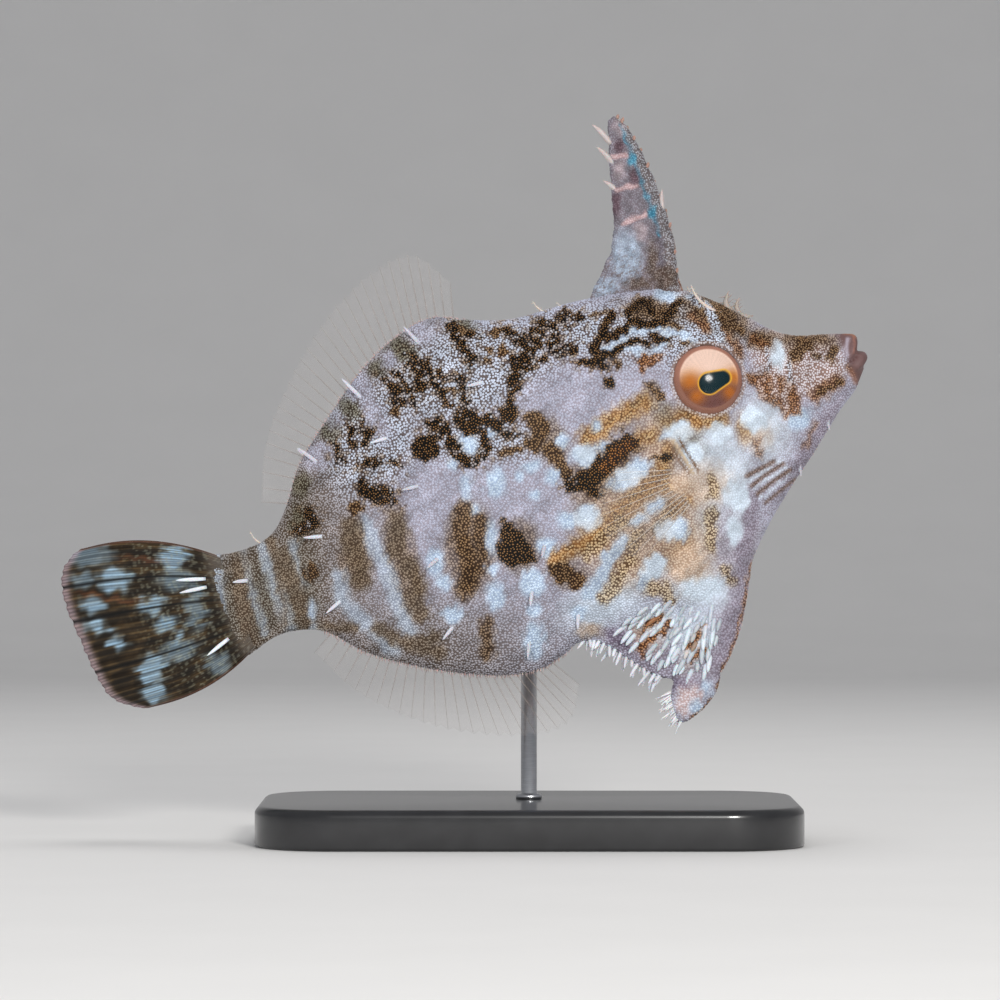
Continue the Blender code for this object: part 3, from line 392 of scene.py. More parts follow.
markings = {
    # Soft washes: kind, strength, softness, ovals as (x, y, half length, half height, turn in degrees)
    "washes": [
        # The two rear washes are painted shade, the light falling off over the rear of the fish and its tail
        # stalk
        ("rear", 1.0, 130, [(210, 560, 150, 190, 0), (330, 690, 120, 60, 0)]),
        ("rear", 0.55, 90, [(420, 650, 120, 50, 0), (390, 360, 60, 60, -40)]),
        ("crisp", 0.85, 40, [(470, 372, 90, 46, -18), (610, 334, 84, 26, 0), (372, 440, 44, 56, 20),
                             (690, 330, 50, 36, 0), (480, 440, 60, 26, 0)]),
        ("olive", 0.8, 12, [(402, 350, 17, 10, 38), (378, 369, 8, 8, 0), (351, 409, 14, 9, 35),
                            (330, 431, 11, 12, 40), (302, 486, 9, 12, 20), (461, 327, 13, 9, 0),
                            (300, 520, 10, 16, 0)]),
        ("base", 0.8, 12, [(420, 333, 14, 10, 38), (389, 360, 7, 8, 40), (360, 388, 17, 12, 38),
                           (376, 418, 11, 26, -28), (337, 422, 6, 9, 30), (318, 456, 14, 16, 35)]),
        # Cheek wash: the cheek's pale colour with painted light on the head
        ("litCheek", 0.95, 34, [(762, 430, 26, 34, 0), (715, 465, 34, 44, -35), (716, 520, 24, 52, 0)]),
        ("throat", 0.9, 26, [(735, 560, 26, 60, 0), (716, 650, 22, 44, 20)]),
        ("white", 0.8, 30, [(700, 590, 34, 22, 0), (604, 604, 44, 24, -20)]),
        ("lilac", 0.7, 20, [(660, 650, 50, 30, 20)]),
        ("peach", 0.55, 14, [(646, 634, 18, 18, 30), (692, 650, 9, 20, 20)]),
        ("white", 0.75, 14, [(672, 626, 36, 16, 15), (695, 640, 18, 26, 10)]),
        ("peach", 0.8, 10, [(590, 630, 12, 7, 0)]),
        ("blush", 0.85, 9, [(688, 700, 13, 17, 0)]),
        # Painted shadow on the skin between the flap's tongues, under its shade lines
        ("plumShadow", 0.75, 9, [(622, 640, 20, 8, 22), (672, 685, 20, 5, -6)]),
        ("olive", 0.45, 30, [(250, 600, 34, 50, 0), (296, 590, 22, 50, 0)]),
        ("peach", 0.7, 26, [(690, 560, 22, 30, 0), (700, 485, 26, 20, 0), (758, 436, 10, 9, 0)]),
        ("ochre", 0.5, 36, [(636, 524, 62, 60, -30), (660, 440, 28, 30, 0)]),
        ("ochre", 0.75, 12, [(674, 424, 14, 10, 20), (702, 423, 20, 7, 0), (741, 430, 6, 12, -10)]),
        ("olive", 0.4, 14, [(660, 412, 9, 18, -20), (690, 438, 9, 7, 0), (694, 452, 10, 7, 0)]),
        ("snout", 0.95, 20, [(808, 366, 34, 30, 15), (772, 356, 20, 26, 0)]),
        ("brown", 0.95, 16, [(716, 316, 36, 16, 28), (652, 312, 24, 10, 8), (760, 340, 16, 9, 10),
                             (806, 340, 34, 7, 0)]),
        ("lilac", 0.95, 10, [(744, 545, 8, 62, 9), (730, 632, 11, 50, 18), (810, 446, 7, 60, 32)]),
        ("base", 0.7, 24, [(560, 395, 50, 22, -8), (470, 490, 64, 30, 0)]),
        ("brown", 0.55, 16, [(470, 548, 26, 44, 0), (548, 440, 16, 26, -30), (356, 552, 16, 34, 0),
                             (402, 560, 16, 50, -10), (600, 470, 36, 22, -38), (568, 574, 22, 13, 15),
                             (520, 546, 20, 26, 0)]),
    ],
    # Strokes: kind, strength, softness, list of (width, points)
    "strokes": [
        ("ochre", 0.92, 14, [
            (18, [(586, 439), (597, 433), (608, 423), (620, 416), (634, 408), (643, 402)]),
            (16, [(662, 469), (649, 485), (631, 501), (617, 511), (605, 526), (591, 539), (573, 548),
                  (555, 558)]),
            (9, [(636, 440), (650, 436)]), (9, [(670, 509), (682, 501)]),
            (12, [(681, 415), (700, 424), (718, 420)]), (10, [(666, 452), (660, 470), (664, 486)])]),
        ("blue", 0.62, 10, [
            (15, [(367, 523), (375, 545), (388, 571), (397, 601), (410, 630)]),
            (15, [(339, 575), (343, 601), (362, 619), (380, 636), (393, 649)]),
            (6, [(293, 541), (299, 571), (304, 584)]), (7, [(284, 588), (289, 619)]),
            (10, [(263, 545), (274, 585), (290, 628)]),
            (6, [(240, 550), (252, 590), (265, 632)]), (13, [(216, 552), (218, 600), (222, 650)])]),
        ("blue", 0.9, 6, [
            (12, [(622, 539), (611, 555), (600, 576), (586, 594)]), (14, [(657, 561), (642, 582)]),
            (8, [(605, 554), (597, 578)]), (7, [(602, 353), (616, 344), (627, 338)]),
            (7, [(631, 332), (651, 331), (669, 332), (686, 339), (693, 345)]),
            (7, [(626, 349), (637, 352), (649, 359), (656, 351), (662, 345)]),
            (8, [(690, 297), (707, 308), (711, 321), (719, 339)]), (8, [(681, 424), (662, 437)])]),
        ("brown", 0.95, 4, [
            (14, [(530, 418), (538, 422), (541, 432), (537, 442), (530, 446)]),
            (8, [(519, 450), (507, 452), (500, 453)]),
            (14, [(549, 450), (556, 459), (563, 467), (566, 475)]), (5, [(486, 360), (491, 367)]),
            (6, [(599, 363), (588, 365), (579, 365), (570, 362)]), (5, [(591, 316), (603, 313)]),
            (7, [(611, 363), (618, 366)]), (6, [(663, 327), (672, 326), (679, 329)]),
            (6, [(682, 344), (688, 343)]),
            (8, [(646, 385), (653, 391), (659, 398)]), (10, [(464, 540), (470, 560), (468, 586)]),
            (9, [(470, 335), (462, 330)]),
            (9, [(355, 546), (361, 566), (360, 578)]), (8, [(416, 572), (418, 590)])]),
        ("brown", 0.78, 9, [
            (19, [(464, 510), (461, 534), (468, 555), (471, 576), (464, 590)]),
            (12, [(482, 520), (478, 534), (482, 555), (479, 569)]), (13, [(487, 622), (487, 655)])]),
        ("tawny", 0.85, 10, [
            (21, [(352, 526), (354, 545), (360, 567), (362, 580)]),
            (18, [(397, 519), (399, 534), (397, 552)]),
            (19, [(408, 563), (419, 584), (414, 601), (421, 612)]),
            (14, [(414, 643), (430, 640), (436, 636)]),
            (10, [(284, 552), (289, 567), (297, 580), (300, 593), (304, 610), (306, 623)]),
            (9, [(274, 542), (272, 551), (283, 559), (290, 571), (297, 580)]), (11, [(320, 626), (354, 628)]),
            (10, [(270, 540), (290, 585), (307, 626)]), (15, [(238, 560), (243, 600), (250, 640)]),
            (6, [(275, 560), (284, 600), (286, 625)]), (14, [(378, 628), (398, 640), (440, 652)])]),
        ("dotted", 0.75, 8, [
            (13, [(636, 534), (632, 548), (627, 562), (618, 576), (611, 590), (603, 598)]),
            (12, [(621, 521), (605, 534), (593, 548), (585, 555)]), (7, [(652, 529), (670, 509)]),
            (10, [(709, 478), (711, 494)]), (13, [(709, 514), (709, 530), (710, 546)]),
            (10, [(723, 569), (731, 580)]), (14, [(650, 588), (664, 589), (670, 599)])]),
        ("rust", 0.95, 4, [
            (6, [(662, 616), (651, 621), (645, 627), (642, 632)]),
            (6, [(668, 621), (668, 627), (659, 634), (651, 639), (644, 642), (641, 649), (642, 656)]),
            (6, [(702, 625), (697, 635), (693, 643), (686, 647)]), (6, [(704, 649), (698, 654), (690, 664)]),
            (3, [(722, 676), (716, 694), (700, 712), (690, 722)]), (9, [(618, 450), (628, 444)]),
            (2.5, [(751, 562), (741, 619), (733, 645), (723, 672)])]),
        ("rust", 0.75, 7, [
            (14, [(814, 396), (828, 386), (838, 382)]), (9, [(751, 378), (762, 392)]),
            (8, [(751, 340), (764, 346)]), (7, [(847, 368), (857, 376)]),
            (8, [(718, 330), (734, 346), (738, 356)]), (10, [(690, 318), (706, 330)]),
            (6, [(788, 360), (790, 368)])]),
        ("brown", 0.95, 4, [
            (14, [(795, 356), (799, 349), (806, 345)]), (10, [(833, 350), (830, 360)]),
            (5, [(812, 355), (816, 356)]),
            (8, [(786, 396), (790, 388)]), (7, [(818, 395), (828, 388)]), (6, [(836, 386), (840, 380)]),
            (7, [(722, 320), (730, 328), (740, 332)])]),
        ("rust", 0.6, 8, [(9, [(753, 442), (757, 454)]), (5, [(814, 424), (804, 446)])]),
        ("white", 0.7, 3, [
            (3, [(748, 481), (761, 472), (778, 462)]), (3, [(753, 490), (768, 478), (786, 466)]),
                           (3, [(760, 498), (775, 486), (792, 474)])]),
        ("dark", 1.0, 3, [
            (10, [(451, 326), (458, 341), (464, 350), (471, 357), (470, 364)]), (6, [(470, 335), (478, 338)]),
            (6, [(470, 355), (476, 358)]), (9, [(503, 328), (512, 334), (518, 342), (526, 348), (532, 351)]),
            (8, [(525, 335), (532, 342), (539, 346)]), (9, [(535, 330), (541, 336)]),
            (9, [(539, 321), (547, 325), (554, 331), (554, 340), (551, 349), (555, 355), (560, 353),
                 (567, 348), (573, 351)]),
            (9, [(563, 312), (570, 317), (579, 318)]), (7, [(558, 318), (564, 323), (567, 328)]),
            (20, [(518, 363), (526, 363)]), (14, [(515, 372), (515, 388)]),
            (9, [(612, 315), (605, 324), (602, 336), (597, 346), (593, 354), (599, 363), (602, 369)]),
            (8, [(628, 313), (628, 324), (623, 331), (616, 335), (607, 339)]),
            (6, [(602, 356), (611, 355), (620, 350), (631, 341), (640, 343), (649, 346)]),
            (5, [(590, 348), (594, 352)]),
            (8, [(628, 311), (637, 307), (641, 302), (648, 307), (651, 313)]),
            (9, [(634, 325), (641, 325), (649, 326), (656, 326), (663, 321), (669, 312), (676, 304)]),
            (7, [(651, 338), (659, 341), (669, 339)]), (7, [(580, 364), (593, 363)]),
            (7, [(410, 355), (416, 361), (424, 364), (429, 370), (432, 378)]),
            (7, [(410, 367), (415, 370), (421, 371), (420, 378), (419, 386), (421, 392)]),
            (7, [(395, 374), (401, 378), (404, 384), (410, 391), (414, 398), (414, 405)]),
            (8, [(384, 379), (388, 384), (391, 388), (397, 390), (399, 396), (395, 401), (398, 406),
                 (403, 402)]),
            (7, [(420, 362), (428, 369), (433, 377)]), (9, [(442, 375), (447, 378), (453, 379), (459, 380)]),
            (7, [(432, 383), (437, 386), (442, 390), (444, 397), (446, 403), (453, 407)]),
            (6, [(461, 378), (463, 388), (462, 400), (467, 404), (471, 402)]),
            (10, [(459, 421), (462, 413), (469, 415), (475, 416), (467, 423), (462, 428), (470, 433),
                  (477, 423), (483, 421), (490, 419), (495, 423), (498, 430)]),
            (12, [(440, 423), (448, 436), (453, 447), (461, 459), (475, 464)]),
            (10, [(482, 433), (486, 442), (488, 450), (482, 456)]), (7, [(500, 425), (502, 435), (516, 435)]),
            (8, [(429, 426), (437, 425), (444, 428), (441, 433)]), (5, [(424, 437), (450, 437)]),
            (6, [(349, 425), (356, 427), (352, 434), (350, 442), (356, 447)]),
            (6, [(365, 421), (362, 429), (360, 434), (366, 437), (373, 432)]),
            (6, [(333, 444), (338, 445), (337, 455), (339, 462), (345, 462)]), (7, [(430, 428), (440, 425)]),
            (8, [(359, 466), (368, 464), (378, 463)]), (8, [(393, 463), (400, 466)]),
            (9, [(362, 484), (378, 489), (393, 493)]), (8, [(373, 499), (397, 502)]),
            (9, [(308, 512), (316, 520), (308, 527), (299, 531)]), (8, [(509, 415), (509, 399)]),
            (19, [(572, 484), (580, 481), (591, 478), (601, 467), (611, 456), (619, 449), (627, 443)]),
            (9, [(585, 487), (597, 495)])]),
        ("umber", 0.75, 8, [(13, [(602, 468), (618, 452), (629, 444)])]),
        ("crisp", 0.9, 4, [(8, [(692, 298), (706, 308), (712, 320), (719, 337)]),
                           (4, [(764, 350), (767, 362), (766, 374)]), (4, [(788, 362), (788, 384)])]),
    ],
    # Spots: kind, strength, softness, ovals
    "spots": [
        ("blue", 0.85, 8, [
            (582, 456, 12, 8, 0), (562, 442, 6, 6, 0), (601, 447, 6, 4, 0), (496, 484, 9, 14, 0),
            (531, 467, 8, 5, 0), (519, 477, 4, 4, 0), (552, 477, 6, 8, 0), (535, 495, 5, 5, 0),
            (467, 487, 4, 10, 0), (453, 464, 5, 5, 0), (475, 510, 5, 5, 0), (586, 513, 9, 9, 0),
            (566, 520, 9, 8, 0), (545, 546, 9, 9, 0), (491, 536, 5, 14, 0), (493, 569, 5, 5, 0),
            (533, 583, 12, 14, 0), (534, 610, 7, 6, 0), (496, 595, 9, 13, 0), (436, 562, 8, 12, 0),
            (443, 582, 7, 7, 0), (453, 614, 9, 9, 0), (534, 640, 10, 18, 0), (579, 612, 7, 7, 0),
            (677, 529, 10, 10, 0), (637, 468, 12, 8, -20), (620, 481, 12, 8, -20), (637, 519, 8, 5, -30),
            (654, 506, 10, 6, -40), (312, 610, 4, 9, 0), (317, 627, 5, 4, 0), (696, 708, 6, 7, 0),
            (706, 688, 5, 7, 0), (474, 421, 4, 4, 0), (492, 431, 5, 5, 0), (468, 443, 7, 12, -25),
            (596, 428, 4, 4, 0), (666, 295, 10, 7, 0), (798, 420, 12, 8, -40)]),
        ("white", 0.8, 7, [
            (739, 501, 8, 14, 0), (732, 532, 6, 14, 0), (700, 587, 20, 12, 0), (777, 356, 6, 13, 0),
            (752, 420, 12, 12, 0), (690, 452, 10, 10, 0)]),
        ("peach", 0.6, 8, [(677, 485, 10, 12, 0), (688, 565, 17, 17, 0)]),
        ("white", 0.62, 8, [
            (677, 433, 12, 10, 0), (627, 476, 13, 9, 0), (584, 455, 10, 7, 0), (667, 529, 12, 11, 0),
            (653, 567, 14, 11, -30), (587, 519, 12, 11, 0), (733, 495, 10, 14, 0), (717, 433, 12, 10, 0),
            (733, 530, 8, 12, 0)]),
        ("brown", 0.95, 3, [
            (496, 334, 5, 5, 0), (490, 351, 4, 4, 0), (502, 352, 5, 5, 0), (451, 391, 4, 4, 0),
            (395, 413, 4, 4, 0), (356, 508, 7, 6, 0), (563, 572, 16, 9, 20), (575, 581, 9, 8, 0),
            (312, 571, 6, 10, 0), (544, 431, 4, 8, 0)]),
        ("dark", 1.0, 3, [
            (543, 360, 5, 5, 0), (607, 383, 6, 6, 0), (365, 444, 3, 3, 0), (426, 449, 14, 13, 0),
            (509, 415, 10, 10, 0), (424, 387, 4, 5, 0), (661, 458, 11, 3, 0), (370, 493, 12, 6, 20)]),
        ("base", 0.8, 2.5, [(490, 444, 2.5, 2.5, 0)]),
    ],
    # The dark marks have pale holes up to this place along the side view
    "holesEnd": 575,
    # Areas with straight edges: kind, strength, softness, corners
    "areas": [
        ("rust", 0.85, 7, [(746, 375), (765, 373), (784, 379), (800, 397), (798, 416), (785, 417), (769, 404),
                           (757, 398)]),
        ("rust", 0.95, 3, [(631, 358), (635, 364), (640, 378), (646, 371), (656, 364), (664, 354)]),
        ("snout", 0.85, 4, [(768, 368), (774, 368), (777, 396), (771, 398)]),
        ("snout", 0.8, 4, [(783, 382), (788, 384), (786, 410), (781, 408)]),
        ("snout", 0.7, 5, [(755, 380), (760, 382), (764, 398), (757, 396)]),
        ("dark", 0.9, 3, [(502, 517), (508, 520), (520, 529), (530, 544), (538, 562), (524, 564), (510, 565),
                          (500, 564), (497, 548), (500, 534)]),
    ],
}


def wobble(spots, size, seed):
    # A smooth uneven field of about plus and minus one
    draw = np.random.default_rng(seed)
    total = np.zeros(len(spots))
    for _ in range(6):
        turn, phase = draw.uniform(0, 2 * math.pi, 2)
        stretch = size * draw.uniform(0.6, 1.7)
        total += np.sin((spots @ np.array([math.cos(turn), math.sin(turn)])) * 2 * math.pi / stretch + phase)
    return total / 2.4


def drift(spots, size, seed):
    # How far a place is moved, unevenly, both ways
    return np.stack([wobble(spots, size, seed), wobble(spots, size, seed + 1)], 1)


def blend(colour, tint, mask):
    return colour + (np.array(tint) - colour) * mask[:, None]


def blendPair(pair, tints, mask):
    return [blend(colour, tint, mask) for colour, tint in zip(pair, tints)]


def nearLine(spots, line):
    # Distance to a broken line, and how far along it the nearest place is
    best, along = np.full(len(spots), 1e9), np.zeros(len(spots))
    line = np.asarray(line, float)
    steps = np.linalg.norm(np.diff(line, axis=0), axis=1)
    before, whole = np.concatenate([[0.0], np.cumsum(steps)]), steps.sum()
    for k in range(len(line) - 1):
        run = line[k + 1] - line[k]
        u = np.clip(((spots - line[k]) @ run) / max(run @ run, 1e-9), 0, 1)
        gap = np.linalg.norm(spots - (line[k] + u[:, None] * run), axis=1)
        closer = gap < best
        best = np.where(closer, gap, best)
        along = np.where(closer, (before[k] + u * steps[k]) / whole, along)
    return best, along


def step(value):
    value = np.clip(value, 0, 1)
    return value * value * (3 - 2 * value)


def strokeMask(spots, strokes, soft):
    mask = np.zeros(len(spots))
    for width, line in strokes:
        reach = width / 2 + soft
        low, high = np.min(line, 0) - reach, np.max(line, 0) + reach
        near = np.nonzero(np.all((spots > low) & (spots < high), axis=1))[0]
        if len(near):
            away, _ = nearLine(spots[near], line)
            mask[near] = np.maximum(mask[near], step(0.5 + (width / 2 - away) / soft))
    return mask


def ovalMask(spots, ovals, soft):
    mask = np.zeros(len(spots))
    for x, y, across, up, turn in ovals:
        c, s = math.cos(math.radians(turn)), math.sin(math.radians(turn))
        gap = spots - np.array([x, y])
        u, v = (gap[:, 0] * c + gap[:, 1] * s) / across, (gap[:, 1] * c - gap[:, 0] * s) / up
        away = (np.hypot(u, v) - 1) * min(across, up)
        mask = np.maximum(mask, step(0.5 - away / soft))
    return mask


def areaMask(spots, corners, soft):
    corners = np.asarray(corners, float)
    closed = np.concatenate([corners, corners[:1]])
    away, _ = nearLine(spots, closed)
    inside = np.zeros(len(spots), bool)
    for (x0, y0), (x1, y1) in zip(closed[:-1], closed[1:]):
        crosses = (y0 > spots[:, 1]) != (y1 > spots[:, 1])
        inside ^= crosses & (spots[:, 0] < (x1 - x0) * (spots[:, 1] - y0) / (y1 - y0 + 1e-12) + x0)
    return step(0.5 + np.where(inside, away, -away) / soft)


def paintFlank(spots, left):
    # Granule colour, colour between, and granule size at each place; the left flank differs a little
    seed = 40 if left.any() else 0
    shift = (drift(spots, 17, 1) + drift(spots, 7, 3)) * 1.3
    other = drift(spots, 60, 5 + seed) * 7 + drift(spots, 22, 7 + seed) * 3
    spots = spots + shift + np.where(left[:, None], other, 0.0)
    pair = [np.tile(np.array(colour, float), (len(spots), 1)) for colour in palette["base"][:2]]
    size = np.full(len(spots), palette["base"][2])

    def lay(kind, mask):
        nonlocal pair, size
        pair = blendPair(pair, palette[kind][:2], mask)
        size = size + (palette[kind][2] - size) * mask

    def laySpots(kinds):
        for kind, strength, soft, ovals in markings["spots"]:
            if kind in kinds:
                lay(kind, strength * ovalMask(spots, ovals, soft))

    # Washes first, painted shade toward the tail among them
    for kind, strength, soft, ovals in markings["washes"]:
        lay(kind, strength * ovalMask(spots, ovals, soft))
    # Crumbs of brown round the dark marks
    crumbs = step((wobble(spots, 9, 13) + wobble(spots, 5, 14) - 0.5) / 0.3)
    for kind, strength, soft, lines in markings["strokes"]:
        if kind == "dark":
            lay("brown", 0.6 * crumbs * strokeMask(spots, [(width + 15, line) for width, line in lines], 10))
    holes = step((wobble(spots, 8, 15) + wobble(spots, 5, 16) - 0.95) / 0.3)
    for kind, strength, soft, lines in markings["strokes"]:
        mask = strokeMask(spots, lines, soft)
        lay(kind, strength * mask)
        if kind == "dark":
            lay("crisp", 0.8 * holes * mask * (spots[:, 0] < markings["holesEnd"]))
        elif kind == "ochre":
            lay("dotted", 0.7 * crumbs * mask)
        laySpots([kind])
    laySpots(["white", "peach", "olive", "base"])
    for kind, strength, soft, corners in markings["areas"]:
        mask = areaMask(spots, corners, soft)
        lay(kind, strength * mask)
        if kind == "rust":
            lay("snout", 0.6 * holes * mask)
    tone = (1 + 0.05 * wobble(spots, 26, 11) + 0.04 * wobble(spots, 9, 12))[:, None]
    return pair[0] * tone, pair[1] * tone, size


# Skin: one closed surface over body, flap, lids, lips and pelvis tip

skinDetails = {
    "cell": 0.238, "smoothing": 5,
    "eye": (15.9, 3.5), "lidRadius": 3.62, "lidThick": 0.24, "lidSides": (72, 12),
    "socketRadius": 3.45, "socketDepth": 1.8,
    "pelvisLow": [(25.15, -24.6), (25.65, -25.35), (26.2, -26.0), (26.9, -26.5), (28.0, -27.1), (29.6, -27.6),
                  (30.4, -27.7), (30.9, -27.2), (30.8, -26.0), (30.5, -24.7), (30.1, -23.95)],
    "pelvisTop": (29.2, 25.6), "pelvisMiddle": (28.8, -25.9), "pelvisHalf": (0.85, 0.4),
    "pelvisSection": [(0.35, -1.0), (0.12, -0.82), (0.0, -0.4), (0.0, 0.4), (0.12, 0.82), (0.35, 1.0)],
    # Folds: places in the side view, half width and height in mm, below zero for a groove
    "folds": [
        ([(858, 345), (857, 350), (856, 356), (850, 361), (845, 363)], 0.2, -0.5),
        ([(838, 334), (839, 346), (840, 358), (839, 370), (836, 380)], 0.35, -0.2),
        ([(677, 440), (683, 450), (690, 461), (697, 471)], 0.3, -0.42),
        ([(668, 443), (674, 455), (681, 466), (688, 476)], 0.3, -0.28),
        ([(672, 441), (678, 452), (685, 463), (692, 474)], 0.34, 0.62),
        ([(668, 492), (674, 484), (680, 476)], 1.0, 0.35),
        ([(742, 352), (730, 343), (712, 338), (694, 340), (680, 350)], 0.7, 0.28),
        ([(747, 479), (759, 469), (774, 460)], 0.2, -0.14),
        ([(750, 488), (766, 474), (784, 463)], 0.2, -0.16),
        ([(754, 497), (771, 483), (791, 470)], 0.2, -0.16),
        ([(762, 506), (780, 491), (798, 478)], 0.2, -0.14), ([(740, 500), (736, 530), (728, 556)], 0.6, -0.1),
        ([(748, 516), (745, 542), (739, 580), (730, 612), (719, 681)], 0.8, 0.18),
        ([(812, 436), (790, 470), (766, 512), (756, 540)], 0.6, 0.12),
        ([(600, 300), (640, 300), (672, 302)], 0.6, -0.12),
    ],
    # Bare skin with no granules: colour, strokes
    # The dark brown strokes are painted shade in the gill slit's two grooves; the pale tan is the ridge
    # between them
    "bare": [((114, 86, 64), [(2.4, [(677, 440), (683, 450), (690, 461), (696, 471)]),
                              (1.8, [(668, 446), (674, 456), (681, 467), (687, 474)])]),
             ((192, 172, 146), [(3.2, [(671, 441), (678, 452), (685, 463), (691, 473)])])],
    "lipMarks": [  # colour, strength, softness, strokes
        # Painted highlight on the front of the upper lip
        ((186, 182, 198), 0.7, 3.0, [(3.5, [(847, 339), (845, 348), (846, 356)])]),
        ((170, 112, 82), 0.65, 3.0, [(3, [(844, 333), (851, 334), (855, 337)])]),
        ((172, 112, 92), 0.5, 2.0, [(1.6, [(853, 338), (854, 346), (852, 354)])]),
        # Painted highlight on the top of the lower lip
        ((204, 202, 212), 0.65, 1.8, [(1.5, [(860, 347), (864, 350), (867, 355)])]),
        ((146, 100, 78), 0.55, 5.0, [(5, [(850, 372), (855, 382)])]),
        # Painted shade along the mouth's crease
        ((84, 55, 52), 0.9, 1.4, [(1.2, [(859, 346), (857, 351), (856, 357), (850, 362), (845, 364)])])],
    # Pairs of colours and shares are for the granules and for the skin between them
    "lipDepth": (2.5, 0.9), "lipShares": (0.8, 0.9), "stripeShare": 0.85,
    "stripeColours": ((128, 104, 92), (84, 64, 54)),
    "lidColours": ((188, 178, 176), (128, 100, 84)), "lidShares": (0.7, 0.6),
    "skinEnd": 69.0,  # no granules past this place before the tail
    "stripes": [(4.5, [(745, 476), (757, 470), (772, 462)]), (4, [(750, 486), (764, 475), (782, 464)]),
                (4, [(756, 494), (771, 482), (789, 470)]), (3, [(764, 503), (779, 491), (795, 479)])],
    # Lips: rolls from the mouth's corner, as (s, t, y, radius), mirrored over
    "upperLip": [(1.75, -0.05, 1.75, 0.3), (1.5, 0.45, 1.68, 0.44), (1.2, 1.1, 1.5, 0.52),
                 (1.0, 1.7, 1.1, 0.57), (0.9, 2.05, 0.55, 0.6), (0.88, 2.1, 0.18, 0.6)],
    "lowerLip": [(1.9, -0.6, 1.66, 0.34), (1.35, -0.5, 1.55, 0.48), (0.9, -0.2, 1.2, 0.57),
                 (0.65, 0.0, 0.7, 0.61), (0.55, 0.08, 0.22, 0.62)],
    "nostrils": [(9.9, 5.4, 0.42, 0.3), (10.8, 5.9, 0.34, 0.28)], "nostrilDepth": 0.5, "nostrilRim": 0.16,
}


def buildBody():
    cfg = bodyShape
    u = np.linspace(0, 1, cfg["rings"])
    s = cfg["start"] + (cfg["end"] - cfg["start"]) * (0.5 * u + 0.5 * (0.5 - 0.5 * np.cos(math.pi * u)))
    top, edge = backAt(s), bellyAt(s)
    split = np.maximum(keelAt(s), edge + np.minimum(1.5, 0.3 * (top - edge)))
    j = np.arange(cfg["flankPoints"]) / cfg["flankPoints"]
    k = np.arange(cfg["keelPoints"]) / cfg["keelPoints"]
    flank = (top + split)[:, None] / 2 + (top - split)[:, None] / 2 * np.cos(math.pi * j)
    keel = edge[:, None] + (split - edge)[:, None] * (1 - np.sin(math.pi / 2 * k))
    heights = np.concatenate([flank, keel, edge[:, None]], 1)
    inner = heights[:, 1:-1]
    column = np.repeat(s[:, None], inner.shape[1], 1)
    width = halfWidthAt(column, inner)
    return tube("body", np.concatenate([
        toWorld(s, heights[:, 0], 0.0)[:, None], toWorld(column, inner, -width),
        toWorld(s, heights[:, -1], 0.0)[:, None], toWorld(column, inner, width)[:, ::-1]], 1))


def buildLid(side):
    cfg = skinDetails
    around, sides = cfg["lidSides"]
    turn, bend = circle(around), circle(sides)[None, :, None]
    s = cfg["eye"][0] + cfg["lidRadius"] * np.cos(turn)
    t = cfg["eye"][1] + cfg["lidRadius"] * np.sin(turn)
    middle = toWorld(s, t, side * halfWidthAt(s, t))
    away = unit(heading(np.cos(turn), np.sin(turn)))
    out = outward(*cfg["eye"], side)
    points = middle[:, None] + (away[:, None] * np.cos(bend) + out * np.sin(bend)) * cfg["lidThick"] * mm
    faces = [(i * sides + j, (i + 1) % around * sides + j, (i + 1) % around * sides + (j + 1) % sides,
              i * sides + (j + 1) % sides) for i in range(around) for j in range(sides)]
    return faceOutwards(makeObject("lid", points, faces))


def buildLip(half):
    # A roll of soft skin from one corner of the mouth round to the other
    rows = np.array(half + [(s, t, -y, r) for s, t, y, r in reversed(half)])
    u = np.linspace(0, len(rows) - 1, 60)
    s, t, y, r = (smoothCurve(list(enumerate(rows[:, k])))(u) for k in range(4))
    return tube("lip", ringsAlong(toWorld(s, t, y), r, 16, heading(1.0, 0.0)))


def buildPelvis():
    cfg = skinDetails
    top = [(s, float(bellyAt(s)) + 0.5) for s in np.linspace(*cfg["pelvisTop"], 5)]
    outline = np.array(cfg["pelvisLow"] + top)
    share = (outline[:, 0] - outline[:, 0].min()) / np.ptp(outline[:, 0])
    front, rear = cfg["pelvisHalf"]
    half = front + (rear - front) * share
    rings = []
    for inset, fullness in cfg["pelvisSection"]:
        place = outline + (np.array(cfg["pelvisMiddle"]) - outline) * inset
        rings.append(toWorld(place[:, 0], place[:, 1], half * fullness))
    return tube("pelvis", rings)


def sculpt(points, normals):
    cfg = skinDetails
    spots = toView(points)
    lift = np.zeros(len(points))
    for line, width, height in cfg["folds"]:
        away, along = nearLine(spots, line)
        ends = np.clip(np.minimum(along, 1 - along) * 5 + 0.15, 0, 1)
        fold = height * np.exp(-((away * sideView["unit"]) / width) ** 2)
        lift += fold * ends * np.abs(normals[:, 1]) ** 0.5
    s, t, y = worldToFish(points)
    for atS, atT, along, up in cfg["nostrils"]:
        gap = np.hypot((s - atS) / along, (t - atT) / up)
        lift -= cfg["nostrilDepth"] * np.exp(-(gap / 0.75) ** 4)
        lift += cfg["nostrilRim"] * np.exp(-((gap - 1.35) / 0.3) ** 2)
    shape = points + normals * (lift * mm)[:, None]
    # The eye's socket is pressed in behind the ball
    for side in (-1, 1):
        out = outward(*cfg["eye"], side)
        centre = toWorld(*cfg["eye"], side * halfWidthAt(*cfg["eye"]))
        gap = shape - centre
        deep = gap @ out
        radius = np.linalg.norm(gap - deep[:, None] * out, axis=1) / mm
        near = (y * side > 0) & (radius < cfg["socketRadius"])
        press = cfg["socketDepth"] * (1 - (radius / cfg["socketRadius"]) ** 6)
        shape[near] -= out * (press[near] * mm)[:, None]
    return shape


arcS = np.linspace(0, bodyShape["end"], 160)


